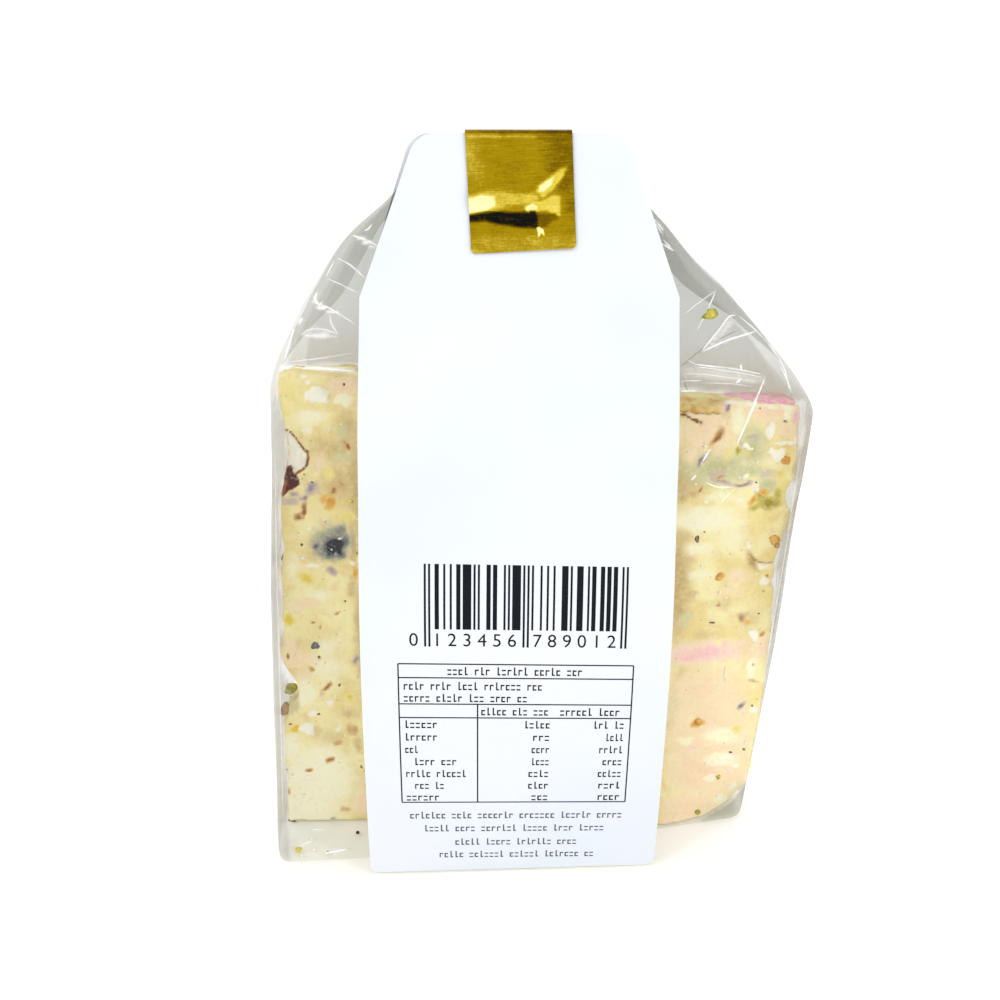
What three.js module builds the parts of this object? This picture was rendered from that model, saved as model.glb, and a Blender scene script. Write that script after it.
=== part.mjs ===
// A pack of rocky road, standing on its base. A gusseted clear bag holds one hand-cut slab,
// and its gathered top is shut between two tall cards that hang down to the table. A gold
// foil seal is folded over the top edge of both cards. The printed card faces -Y.
// Millimetres, +Z up. The origin is under the middle of the whole pack, on the table.
import * as THREE from 'three';

// ---- The bag, filled and standing ----
const BAG_HEIGHT = 157;
const BASE_ROUNDING = 1.8; // radius of the fold round the base
const CORNER_ROUNDING = 3.2; // radius of the four upright folds
const SHOULDER = 108; // height where the bag starts to close above the slab
const PINCH_FRONT = -1.3; // the gathered film between the cards: its front and its back
const PINCH_BACK = -0.1;

// How far each upright fold of the bag lies to the left or right, by height
const LEFT_FOLD = [
  [0, -60.4], [50, -59.6], [85, -58.8], [SHOULDER, -58.3], [115, -56.9], [122, -53.7],
  [131, -48.4], [143, -39.3], [150, -31.3], [BAG_HEIGHT, -24.8],
];
const RIGHT_FOLD = [
  [0, 52], [30, 54.8], [70, 58], [101, 61.2], [105.5, 61.2], [112, 57.3],
  [121, 49.6], [133, 38.8], [143, 29], [150, 21.6], [BAG_HEIGHT, 16.7],
];
// How far forward or back the ends of each broad panel lie, by height
const FRONT_LEFT = [
  [0, -22.2], [60, -13.4], [SHOULDER, -4.5], [132, -2.6], [145, -1.9], [BAG_HEIGHT, PINCH_FRONT],
];
const FRONT_RIGHT = [
  [0, -4.6], [60, -3.4], [SHOULDER, -1.2], [132, -1.6], [145, -1.6], [BAG_HEIGHT, PINCH_FRONT],
];
const BACK_LEFT = [
  [0, 13], [60, 17.5], [SHOULDER, 21.4], [120, 16.2], [132, 9.4], [145, 2.6], [152, 0.3],
  [BAG_HEIGHT, PINCH_BACK],
];
const BACK_RIGHT = [
  [0, 19.5], [60, 22], [SHOULDER, 23.4], [120, 17.4], [132, 9.8], [145, 2.6], [152, 0.3],
  [BAG_HEIGHT, PINCH_BACK],
];
// How far the middle of each broad panel swells past its ends, by height
const FRONT_SWELL = [
  [0, 2.2], [30, 8.6], [62, 12.6], [90, 11.4], [SHOULDER, 9], [120, 5.2], [132, 2.6], [145, 0.8],
  [151, 0.1], [BAG_HEIGHT, 0],
];
const BACK_SWELL = [[0, 1], [60, 1.6], [SHOULDER, 1.2], [132, 0.8], [145, 0.4], [BAG_HEIGHT, 0]];
// How far the slab's edges bow the narrow sides out, by height
const LEFT_BOW = [[0, 1.1], [60, 1.4], [100, 0.5], [SHOULDER, 0], [BAG_HEIGHT, 0]];
const RIGHT_BOW = [[0, 0.9], [46, 1.9], [90, 1], [104, 0.5], [112, 0], [BAG_HEIGHT, 0]];
// How far the fold in the middle of both narrow sides is pushed in above the slab
const GUSSET = [
  [0, 0], [SHOULDER, 0], [118, 2.4], [132, 7], [150, 3], [BAG_HEIGHT, 0.3],
];
// Gathers that the film takes towards the top
const GATHERS = 5;
const GATHER_DEPTH = [[0, 0], [SHOULDER, 0], [132, 0.7], [145, 0.3], [151, 0.1], [BAG_HEIGHT, 0]];

// ---- The cards ----
const CARD_WIDTH = 66;
const CARD_TOP_WIDTH = 42.6; // where the sloping sides would meet the top edge
const CARD_SHOULDER = 32.1; // from the top edge down to the full width
const CARD_CORNER = 5.5; // radius of the top corners
const CARD_FOOT_CORNER = 2; // and of the bottom corners
const CARD_THICKNESS = 0.45;
const CARD_TOP = 162.8;
// The way that each card hangs, as forward or back by height
const PRINTED_HANG = [
  [0.5, -23.3], [22, -25.8], [48, -27.3], [68, -26.3], [90, -21.7],
  [106, -18.2], [130, -8.2], [142, -4.6], [151, -2.5], [157, -1.85], [CARD_TOP, -1.1],
];
const PLAIN_HANG = [
  [0.5, 24.5], [25, 27.2], [60, 27.8], [92, 27.2], [108, 25.8],
  [120, 20.6], [130, 14.2], [142, 6.4], [151, 1.7], [157, 0.5], [CARD_TOP, -0.3],
];
const PRINTED_CENTRE = [[0, -5.3], [CARD_TOP, -4]]; // left or right, by height
const PLAIN_CENTRE = [[0, -4.4], [CARD_TOP, -5]];
const PRINTED_TURN = [[0, 0.045], [CARD_TOP, 0]]; // the right side lies this much further back
const PLAIN_TURN = [[0, 0.03], [CARD_TOP, 0]];

// ---- The seal ----
const SEAL_WIDTH = 21.6;
const SEAL_LEG = 22.9; // from the top edge down each side
const SEAL_CORNER = 1;
const SEAL_THICKNESS = 0.2;
const SEAL_FOLD = 0.9; // half of the strip's length over the two top edges
const SEAL_SLANT = 0.05; // sideways for each millimetre along the strip
const SEAL_CENTRE = -4.6; // where it crosses the top edge

const GAP = 0.3; // between pieces that touch

// The value at t of a smooth curve through knots of [t, value]
function through(knots, t) {
  const last = knots.length - 1;
  const slope = (i) => {
    const [a, b] = [knots[Math.max(i - 1, 0)], knots[Math.min(i + 1, last)]];
    return (b[1] - a[1]) / (b[0] - a[0]);
  };
  let i = 0;
  while (i < last - 1 && t > knots[i + 1][0]) i += 1;
  const [t0, v0] = knots[i];
  const [t1, v1] = knots[i + 1];
  const span = t1 - t0;
  const k = THREE.MathUtils.clamp((t - t0) / span, 0, 1);
  const k2 = k * k;
  const k3 = k2 * k;
  return (
    (2 * k3 - 3 * k2 + 1) * v0 + (k3 - 2 * k2 + k) * span * slope(i)
    + (3 * k2 - 2 * k3) * v1 + (k3 - k2) * span * slope(i + 1)
  );
}

// A closed body through rings of points that all have the same count. Each ring runs
// anticlockwise seen from above, the rings go upwards, and the two ends are fans.
function loft(rings) {
  const count = rings[0].length;
  const positions = rings.flat().flatMap((p) => [p.x, p.y, p.z]);
  const faces = [];
  for (let level = 0; level < rings.length - 1; level += 1) {
    for (let i = 0; i < count; i += 1) {
      const a = level * count + i;
      const b = level * count + ((i + 1) % count);
      faces.push(a, b, b + count, a, b + count, a + count);
    }
  }
  for (const [level, upwards] of [[0, false], [rings.length - 1, true]]) {
    const middle = rings[level]
      .reduce((sum, p) => sum.add(p), new THREE.Vector3())
      .divideScalar(count);
    const hub = positions.length / 3;
    positions.push(middle.x, middle.y, middle.z);
    for (let i = 0; i < count; i += 1) {
      const a = level * count + i;
      const b = level * count + ((i + 1) % count);
      faces.push(...(upwards ? [hub, a, b] : [hub, b, a]));
    }
  }
  return solid(positions, faces);
}

// A closed body with an even thickness from rows of points: rows[i][j] is a point and
// normals[i] the way its row faces. It has a front, a back and a rim.
function sheet(rows, normals, thickness) {
  const columns = rows[0].length;
  const positions = [];
  for (const side of [1, -1]) {
    rows.forEach((row, i) => {
      for (const point of row) {
        const p = point.clone().addScaledVector(normals[i], (side * thickness) / 2);
        positions.push(p.x, p.y, p.z);
      }
    });
  }
  const layer = rows.length * columns;
  const at = (i, j) => i * columns + j;
  const faces = [];
  for (let i = 0; i < rows.length - 1; i += 1) {
    for (let j = 0; j < columns - 1; j += 1) {
      const [a, b, c, d] = [at(i, j), at(i, j + 1), at(i + 1, j + 1), at(i + 1, j)];
      faces.push(a, b, c, a, c, d);
      faces.push(layer + a, layer + c, layer + b, layer + a, layer + d, layer + c);
    }
  }
  const rim = [];
  for (let j = 0; j < columns - 1; j += 1) rim.push(at(0, j));
  for (let i = 0; i < rows.length - 1; i += 1) rim.push(at(i, columns - 1));
  for (let j = columns - 1; j > 0; j -= 1) rim.push(at(rows.length - 1, j));
  for (let i = rows.length - 1; i > 0; i -= 1) rim.push(at(i, 0));
  rim.forEach((a, k) => {
    const b = rim[(k + 1) % rim.length];
    faces.push(a, layer + a, layer + b, a, layer + b, b);
  });
  return solid(positions, faces);
}

function solid(positions, faces) {
  const geometry = new THREE.BufferGeometry();
  geometry.setAttribute('position', new THREE.Float32BufferAttribute(positions, 3));
  geometry.setIndex(faces);
  geometry.computeVertexNormals();
  return geometry;
}

// ---- The bag ----

// Points on the straight line or, with a bend, on the round corner from a to b
function run(a, b, steps, bend = null) {
  return Array.from({ length: steps }, (_, i) => {
    const k = i / steps;
    if (!bend) return a.clone().lerp(b, k);
    return a.clone().lerp(bend, k).lerp(bend.clone().lerp(b, k), k);
  });
}

// One broad panel from a to b, swollen to one side and gathered
function panel(a, b, swell, gather, steps) {
  return run(a, b, steps).map((p, i) => {
    const across = (2 * i) / steps - 1;
    p.y += swell * (1 - across * across);
    p.y += gather * Math.sin(across * Math.PI * GATHERS) * (1 - across ** 4);
    return p;
  });
}

// One narrow side from a to b: bowed outwards by the slab and folded in along its middle
function gusset(a, b, outwards, bow, fold, steps) {
  return run(a, b, steps).map((p, i) => {
    const across = (2 * i) / steps - 1;
    p.x += outwards * (bow * (1 - across ** 6) - fold * (1 - Math.abs(across)));
    return p;
  });
}

// The ring of the bag's outside at a height, with the film drawn in by inset
function bagRing(height, inset) {
  const left = through(LEFT_FOLD, height) + inset;
  const right = through(RIGHT_FOLD, height) - inset;
  const corner = (x, knots, side) => (
    new THREE.Vector3(x, through(knots, height) - side * inset, height)
  );
  const frontLeft = corner(left, FRONT_LEFT, -1);
  const frontRight = corner(right, FRONT_RIGHT, -1);
  const backLeft = corner(left, BACK_LEFT, 1);
  const backRight = corner(right, BACK_RIGHT, 1);
  // The rounding never takes more than a third of the narrow side
  const depth = Math.min(backLeft.y - frontLeft.y, backRight.y - frontRight.y);
  const radius = Math.min(CORNER_ROUNDING, depth / 3);
  const back = (from, to) => (
    from.clone().addScaledVector(to.clone().sub(from).normalize(), radius)
  );
  const gather = through(GATHER_DEPTH, height);
  const fold = through(GUSSET, height);
  const round = (before, bend, after) => run(back(bend, before), back(bend, after), 3, bend);
  return [
    ...panel(back(frontLeft, frontRight), back(frontRight, frontLeft),
      -through(FRONT_SWELL, height), gather, 22),
    ...round(frontLeft, frontRight, backRight),
    ...gusset(back(frontRight, backRight), back(backRight, frontRight), 1,
      through(RIGHT_BOW, height), fold, 8),
    ...round(frontRight, backRight, backLeft),
    ...panel(back(backRight, backLeft), back(backLeft, backRight),
      through(BACK_SWELL, height), -gather, 18),
    ...round(backRight, backLeft, frontLeft),
    ...gusset(back(backLeft, frontLeft), back(frontLeft, backLeft), -1,
      through(LEFT_BOW, height), fold, 8),
    ...round(backLeft, frontLeft, frontRight),
  ];
}

function bag() {
  const rings = [];
  const baseSteps = 3;
  for (let i = 0; i <= baseSteps; i += 1) {
    const angle = (i / baseSteps) * (Math.PI / 2);
    const height = BASE_ROUNDING * (1 - Math.cos(angle));
    rings.push(bagRing(height, BASE_ROUNDING * (1 - Math.sin(angle))));
  }
  const bodySteps = 12;
  const neckSteps = 15;
  for (let i = 1; i <= bodySteps; i += 1) {
    rings.push(bagRing(THREE.MathUtils.lerp(BASE_ROUNDING, SHOULDER - 6, i / bodySteps), 0));
  }
  for (let i = 1; i <= neckSteps; i += 1) {
    rings.push(bagRing(THREE.MathUtils.lerp(SHOULDER - 6, BAG_HEIGHT, i / neckSteps), 0));
  }
  return loft(rings);
}

// ---- Cards and seal ----

const CARD_SLOPE = (CARD_WIDTH - CARD_TOP_WIDTH) / 2 / CARD_SHOULDER;
// The top corner's arc turns by this much before it runs into the sloping side
const CORNER_TURN = Math.PI / 2 - Math.atan(CARD_SLOPE);

// How far a round corner takes an edge in, at a distance from the corner's end
function cornerLoss(radius, distance) {
  const short = Math.max(radius - distance, 0);
  return radius - Math.sqrt(radius ** 2 - short ** 2);
}

// Half of a card's width at a height
function cardHalfWidth(card, height) {
  const down = CARD_TOP - height;
  const foot = height - card.hang[0][0];
  if (down > CARD_SHOULDER) return CARD_WIDTH / 2 - cornerLoss(CARD_FOOT_CORNER, foot);
  const side = CARD_TOP_WIDTH / 2 + CARD_SLOPE * down;
  if (down > CARD_CORNER * (1 - Math.cos(CORNER_TURN))) return side;
  const arcMiddle = CARD_TOP_WIDTH / 2
    + CARD_CORNER * (CARD_SLOPE - Math.sqrt(1 + CARD_SLOPE ** 2));
  return arcMiddle + CARD_CORNER - cornerLoss(CARD_CORNER, down);
}

// The point of a hanging card's middle surface at a height, across from its centre line
function cardPoint(card, height, across) {
  return new THREE.Vector3(
    through(card.centre, height) + across,
    through(card.hang, height) + across * through(card.turn, height),
    height,
  );
}

// The way that a card faces at a height: outwards, away from the bag
function cardNormal(card, height) {
  const step = 0.2;
  const rise = through(card.hang, height + step) - through(card.hang, height - step);
  return new THREE.Vector3(0, card.out * 2 * step, -card.out * rise).normalize();
}

const PRINTED = { hang: PRINTED_HANG, centre: PRINTED_CENTRE, turn: PRINTED_TURN, out: -1 };
const PLAIN = { hang: PLAIN_HANG, centre: PLAIN_CENTRE, turn: PLAIN_TURN, out: 1 };

// Heights of a card's rows from the top edge down: close together round its corners, with
// one row on the shoulder, which is a true corner in the outline
function cardHeights(card) {
  const stretch = (from, to, steps) => (
    Array.from({ length: steps }, (_, i) => THREE.MathUtils.lerp(from, to, i / steps))
  );
  const arc = (radius, turn, steps) => (
    Array.from({ length: steps }, (_, i) => radius * (1 - Math.cos((turn * i) / steps)))
  );
  const bottom = card.hang[0][0];
  const belowCorner = CARD_TOP - CARD_CORNER * (1 - Math.cos(CORNER_TURN));
  const shoulder = CARD_TOP - CARD_SHOULDER;
  const foot = bottom + CARD_FOOT_CORNER;
  return [
    ...arc(CARD_CORNER, CORNER_TURN, 7).map((down) => CARD_TOP - down),
    ...stretch(belowCorner, shoulder, 12),
    ...stretch(shoulder, foot, 36),
    foot,
    ...arc(CARD_FOOT_CORNER, Math.PI / 2, 4).reverse().map((up) => bottom + up),
  ];
}

function cardSheet(card) {
  const heights = cardHeights(card);
  const columns = 10;
  const rows = heights.map((height) => {
    const half = cardHalfWidth(card, height);
    return Array.from({ length: columns + 1 }, (_, j) => (
      cardPoint(card, height, card.out * half * ((2 * j) / columns - 1))
    ));
  });
  return sheet(rows, heights.map((height) => cardNormal(card, height)), CARD_THICKNESS);
}

// The seal's middle line at a distance along it from the top edge: up the printed card,
// over both top edges and down the plain card
function sealLine(along) {
  const lift = CARD_THICKNESS / 2 + GAP + SEAL_THICKNESS / 2;
  const leg = (card, down) => {
    const normal = cardNormal(card, CARD_TOP - down);
    return { point: cardPoint(card, CARD_TOP - down, 0).addScaledVector(normal, lift), normal };
  };
  if (along <= -SEAL_FOLD) return leg(PRINTED, -along - SEAL_FOLD);
  if (along >= SEAL_FOLD) return leg(PLAIN, along - SEAL_FOLD);
  const [a, b] = [leg(PRINTED, 0).point, leg(PLAIN, 0).point];
  const angle = ((SEAL_FOLD - along) / SEAL_FOLD) * (Math.PI / 2);
  const reach = (b.y - a.y) / 2;
  const rise = GAP + SEAL_THICKNESS;
  return {
    point: new THREE.Vector3(
      0,
      (a.y + b.y) / 2 + reach * Math.cos(angle),
      (a.z + b.z) / 2 + rise * Math.sin(angle),
    ),
    normal: new THREE.Vector3(0, Math.cos(angle) / reach, Math.sin(angle) / rise).normalize(),
  };
}

// A straight strip that lies a little slantwise over the fold
function seal() {
  const reach = SEAL_LEG + SEAL_FOLD;
  const edge = (steps) => Array.from({ length: steps }, (_, i) => (
    SEAL_CORNER * (1 - Math.cos(((i / steps) * Math.PI) / 2))
  ));
  const legSteps = 14;
  const foldSteps = 8;
  const near = [
    ...edge(3).map((from) => from - reach),
    ...Array.from({ length: legSteps }, (_, i) => (
      THREE.MathUtils.lerp(SEAL_CORNER - reach, -SEAL_FOLD, i / legSteps)
    )),
  ];
  const over = Array.from({ length: foldSteps + 1 }, (_, i) => (
    THREE.MathUtils.lerp(-SEAL_FOLD, SEAL_FOLD, i / foldSteps)
  ));
  const far = near.map((along) => -along).reverse();
  const columns = 8;
  const distances = [...near, ...over, ...far];
  const rows = distances.map((along) => {
    const half = SEAL_WIDTH / 2 - cornerLoss(SEAL_CORNER, reach - Math.abs(along));
    return Array.from({ length: columns + 1 }, (_, j) => {
      const across = half * ((2 * j) / columns - 1);
      const { point } = sealLine(along + SEAL_SLANT * across);
      return point.setX(SEAL_CENTRE - SEAL_SLANT * along + across);
    });
  });
  return sheet(rows, distances.map((along) => sealLine(along).normal), SEAL_THICKNESS);
}

// ---- The pack ----

function piece(name, geometry, color, roughness, metalness) {
  const material = new THREE.MeshStandardMaterial({ color, roughness, metalness });
  const mesh = new THREE.Mesh(geometry, material);
  mesh.name = name;
  return mesh;
}

const pack = new THREE.Group();
pack.add(piece('bag', bag(), 0xe9deb4, 0.15, 0));
pack.add(piece('printed_card', cardSheet(PRINTED), 0xf5fafd, 0.6, 0));
pack.add(piece('plain_card', cardSheet(PLAIN), 0xf5fafd, 0.6, 0));
pack.add(piece('seal', seal(), 0xc8a128, 0.35, 1));

export default pack;
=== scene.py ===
"""Finishes and fine forms for a packed slab of rocky road.

The frame gives the solids and their places. This script stands a clear crinkled bag with the
slab in it, two printed hanging cards and a creased gold seal in their place. Forms are worked
out in millimetres, in the frame's own axes, and settled into metres when a piece is finished.
"""

import logging
import math
from dataclasses import dataclass
from enum import Enum
from typing import Callable, Iterable, Sequence

import bmesh
import bpy
import numpy as np
from mathutils import Matrix, Vector, noise
from mathutils.bvhtree import BVHTree


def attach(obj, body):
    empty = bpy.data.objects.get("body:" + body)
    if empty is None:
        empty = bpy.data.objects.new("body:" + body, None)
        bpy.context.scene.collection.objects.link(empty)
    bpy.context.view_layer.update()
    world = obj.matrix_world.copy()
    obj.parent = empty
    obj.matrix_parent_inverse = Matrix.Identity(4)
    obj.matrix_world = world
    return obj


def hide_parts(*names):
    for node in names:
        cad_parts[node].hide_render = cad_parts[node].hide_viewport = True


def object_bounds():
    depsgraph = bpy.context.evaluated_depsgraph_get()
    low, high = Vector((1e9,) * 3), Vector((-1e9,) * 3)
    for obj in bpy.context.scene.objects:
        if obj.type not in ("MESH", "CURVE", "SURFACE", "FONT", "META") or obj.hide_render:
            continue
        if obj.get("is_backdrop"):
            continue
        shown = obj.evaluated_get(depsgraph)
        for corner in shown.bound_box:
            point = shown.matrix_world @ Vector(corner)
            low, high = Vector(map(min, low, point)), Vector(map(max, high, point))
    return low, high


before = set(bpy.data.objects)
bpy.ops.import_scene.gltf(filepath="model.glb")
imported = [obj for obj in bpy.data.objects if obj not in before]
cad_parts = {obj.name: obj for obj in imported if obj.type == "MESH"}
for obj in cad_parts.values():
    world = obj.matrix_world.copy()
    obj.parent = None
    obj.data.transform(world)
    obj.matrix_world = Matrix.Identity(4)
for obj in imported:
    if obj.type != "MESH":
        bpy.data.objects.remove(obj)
CAD_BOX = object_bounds()
MM = 0.001  # millimetres to metres
TINY = 1e-6  # keeps a division away from zero
ROOT = "root"
Knots = tuple[tuple[float, float], ...]
Colour = tuple[float, float, float]
log = logging.getLogger("rocky_road")


# ---- Curves and meshes ----


def srgb(red: int, green: int, blue: int) -> Colour:
    """A screen colour as the linear colour that a shader reads."""
    return tuple(
        part / 12.92 if part <= 0.04045 else ((part + 0.055) / 1.055) ** 2.4
        for part in (red / 255, green / 255, blue / 255)
    )


@dataclass(frozen=True)
class Profile:
    """A smooth curve through knots of (place, value)."""

    knots: Knots

    def at(self, place: np.ndarray | float) -> np.ndarray:
        """The curve's value.

        Args:
            place: where on the curve, one number or an array of them.

        Returns:
            The values, in the shape of place.
        """
        t, v = np.array(self.knots, dtype=float).T
        slope = np.empty_like(v)
        slope[1:-1] = (v[2:] - v[:-2]) / (t[2:] - t[:-2])
        slope[0] = (v[1] - v[0]) / (t[1] - t[0])
        slope[-1] = (v[-1] - v[-2]) / (t[-1] - t[-2])
        i = np.clip(np.searchsorted(t, place) - 1, 0, len(t) - 2)
        span = t[i + 1] - t[i]
        k = np.clip((place - t[i]) / span, 0, 1)
        rise = (3 - 2 * k) * k * k
        bends = (k * (1 - k) ** 2) * slope[i] - (k * k * (1 - k)) * slope[i + 1]
        return v[i] + rise * (v[i + 1] - v[i]) + span * bends


def soft_step(low: float, high: float, value: np.ndarray) -> np.ndarray:
    """0 below low and 1 above high, with a smooth rise between them."""
    k = np.clip((value - low) / (high - low), 0, 1)
    return k * k * (3 - 2 * k)


def gap_to(places: np.ndarray, a: np.ndarray, b: np.ndarray) -> np.ndarray:
    """How far each flat place is from the line between a and b."""
    way = b - a
    k = np.clip(((places - a) @ way) / (way @ way), 0, 1)
    return np.linalg.norm(places - a - k[..., None] * way, axis=-1)


@dataclass(frozen=True)
class Patch:
    """A flat patch with a drawn outline and a soft edge."""

    outline: Knots
    soft: float
    strength: float = 1.0

    def cover(self, places: np.ndarray) -> np.ndarray:
        """How much of the patch lies at each place.

        Args:
            places: flat places, in any shape that ends in 2.

        Returns:
            The patch's strength inside it, falling to 0 over its soft edge.
        """
        corners = np.array(self.outline, dtype=float)
        inside = np.zeros(places.shape[:-1], dtype=bool)
        gap = np.full(places.shape[:-1], np.inf)
        x, y = places[..., 0], places[..., 1]
        for a, b in zip(corners, np.roll(corners, -1, axis=0)):
            gap = np.minimum(gap, gap_to(places, a, b))
            way = b - a
            rise = way[1] if abs(way[1]) > TINY else TINY
            crossed = ((a[1] > y) != (b[1] > y)) & (x < way[0] * (y - a[1]) / rise + a[0])
            inside ^= crossed
        depth = np.where(inside, gap, -gap)
        return self.strength * soft_step(-0.5 * self.soft, 0.5 * self.soft, depth)


def covered(places: np.ndarray, patches: Iterable[Patch]) -> np.ndarray:
    """The strongest of some patches at each flat place."""
    cover = np.zeros(places.shape[:-1])
    for patch in patches:
        cover = np.maximum(cover, patch.cover(places))
    return cover


def grain(points: np.ndarray, size: float, seed: float = 0.0) -> np.ndarray:
    """Smooth noise between -1 and 1.

    Args:
        points: places in mm, in any shape that ends in 3.
        size: how large one bump is, in mm.
        seed: a shift that gives another pattern.

    Returns:
        One number for each place.
    """
    places = points.reshape(-1, 3) / size + seed
    values = np.array([noise.noise(place) for place in places])
    return values.reshape(points.shape[:-1])


def add_surface(bm: bmesh.types.BMesh, points: np.ndarray) -> list[bmesh.types.BMVert]:
    """Adds a grid of quads.

    Args:
        bm: the mesh to add to.
        points: the corners, by row and column. The faces look along column x row.

    Returns:
        The new corners, row by row.
    """
    rows, columns, _ = points.shape
    made = bmesh.ops.create_grid(bm, x_segments=columns - 1, y_segments=rows - 1, size=1.0)
    for vert, point in zip(made["verts"], points.reshape(-1, 3)):
        vert.co = point
    return made["verts"]


def add_painted(
    bm: bmesh.types.BMesh, points: np.ndarray, numbers: dict[str, np.ndarray]
) -> None:
    """Adds a grid of quads and stores named numbers on its corners.

    Args:
        bm: the mesh to add to.
        points: the corners, by row and column.
        numbers: one number a corner for each name, by row and column.
    """
    kept = bm.verts.layers.float
    layers = [kept[name] if name in kept.keys() else kept.new(name) for name in numbers]
    values = np.stack(list(numbers.values()), -1).reshape(-1, len(layers))
    for vert, row in zip(add_surface(bm, points), values):
        for layer, number in zip(layers, row):
            vert[layer] = number


def weld(bm: bmesh.types.BMesh, reach: float = 0.004) -> None:
    """Joins corners that lie together."""
    bmesh.ops.remove_doubles(bm, verts=bm.verts[:], dist=reach)


def settle(
    bm: bmesh.types.BMesh,
    name: str,
    finish: bpy.types.Material,
    stands_for: Sequence[str] = (),
) -> bpy.types.Object:
    """Makes the finished object of a mesh worked in millimetres.

    Args:
        bm: the mesh, which is freed.
        name: the piece's name.
        finish: its material.
        stands_for: the CAD nodes that it replaces.

    Returns:
        The object, at the origin, riding on the frame's root.
    """
    bmesh.ops.scale(bm, vec=(MM, MM, MM), verts=bm.verts[:])
    for face in bm.faces:
        face.smooth = True
    mesh = bpy.data.meshes.new(name)
    bm.to_mesh(mesh)
    bm.free()
    mesh.materials.append(finish)
    piece = bpy.data.objects.new(name, mesh)
    bpy.context.scene.collection.objects.link(piece)
    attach(piece, ROOT)
    if stands_for:
        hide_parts(*stands_for)
    log.info("%s: %d faces", name, len(mesh.polygons))
    return piece


def paint(piece: bpy.types.Object, name: str, values: np.ndarray) -> None:
    """Stores one number a corner on a piece, for its material to read."""
    layer = piece.data.attributes.new(name, "FLOAT", "POINT")
    layer.data.foreach_set("value", np.ascontiguousarray(values, dtype=np.float32))


def corners_mm(piece: bpy.types.Object) -> np.ndarray:
    """A finished piece's corners, in mm."""
    flat = np.empty(len(piece.data.vertices) * 3, dtype=np.float32)
    piece.data.vertices.foreach_get("co", flat)
    return flat.reshape(-1, 3).astype(float) / MM


# ---- Shader nodes ----


class Value:
    """A number socket that Python's operators extend with Math nodes."""

    def __init__(self, recipe: "Recipe", socket: bpy.types.NodeSocket) -> None:
        """Wraps a socket of a recipe's node."""
        self.recipe = recipe
        self.socket = socket

    def _math(self, operation: str, first: "Value | float", *rest: "Value | float") -> "Value":
        """The result of a Math node."""
        inputs = dict(enumerate((first, *rest)))
        node = self.recipe.add("ShaderNodeMath", {"operation": operation}, inputs)
        return Value(self.recipe, node.outputs[0])

    def __add__(self, other: "Value | float") -> "Value":
        """self + other."""
        return self._math("ADD", self, other)

    def __radd__(self, other: float) -> "Value":
        """other + self."""
        return self._math("ADD", other, self)

    def __sub__(self, other: "Value | float") -> "Value":
        """self - other."""
        return self._math("SUBTRACT", self, other)

    def __rsub__(self, other: float) -> "Value":
        """other - self."""
        return self._math("SUBTRACT", other, self)

    def __mul__(self, other: "Value | float") -> "Value":
        """self * other."""
        return self._math("MULTIPLY", self, other)

    def __rmul__(self, other: float) -> "Value":
        """other * self."""
        return self._math("MULTIPLY", other, self)

    def __pow__(self, other: "Value | float") -> "Value":
        """self ** other."""
        return self._math("POWER", self, other)

    def between(self, low: float, high: float) -> "Value":
        """0 below low and 1 above high, with a smooth rise between them."""
        node = self.recipe.add(
            "ShaderNodeMapRange",
            {"interpolation_type": "SMOOTHSTEP"},
            {"Value": self, "From Min": low, "From Max": high},
        )
        return Value(self.recipe, node.outputs["Result"])

    def held(self) -> "Value":
        """self, kept between 0 and 1."""
        node = self.recipe.add("ShaderNodeClamp", {}, {"Value": self})
        return Value(self.recipe, node.outputs[0])


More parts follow.
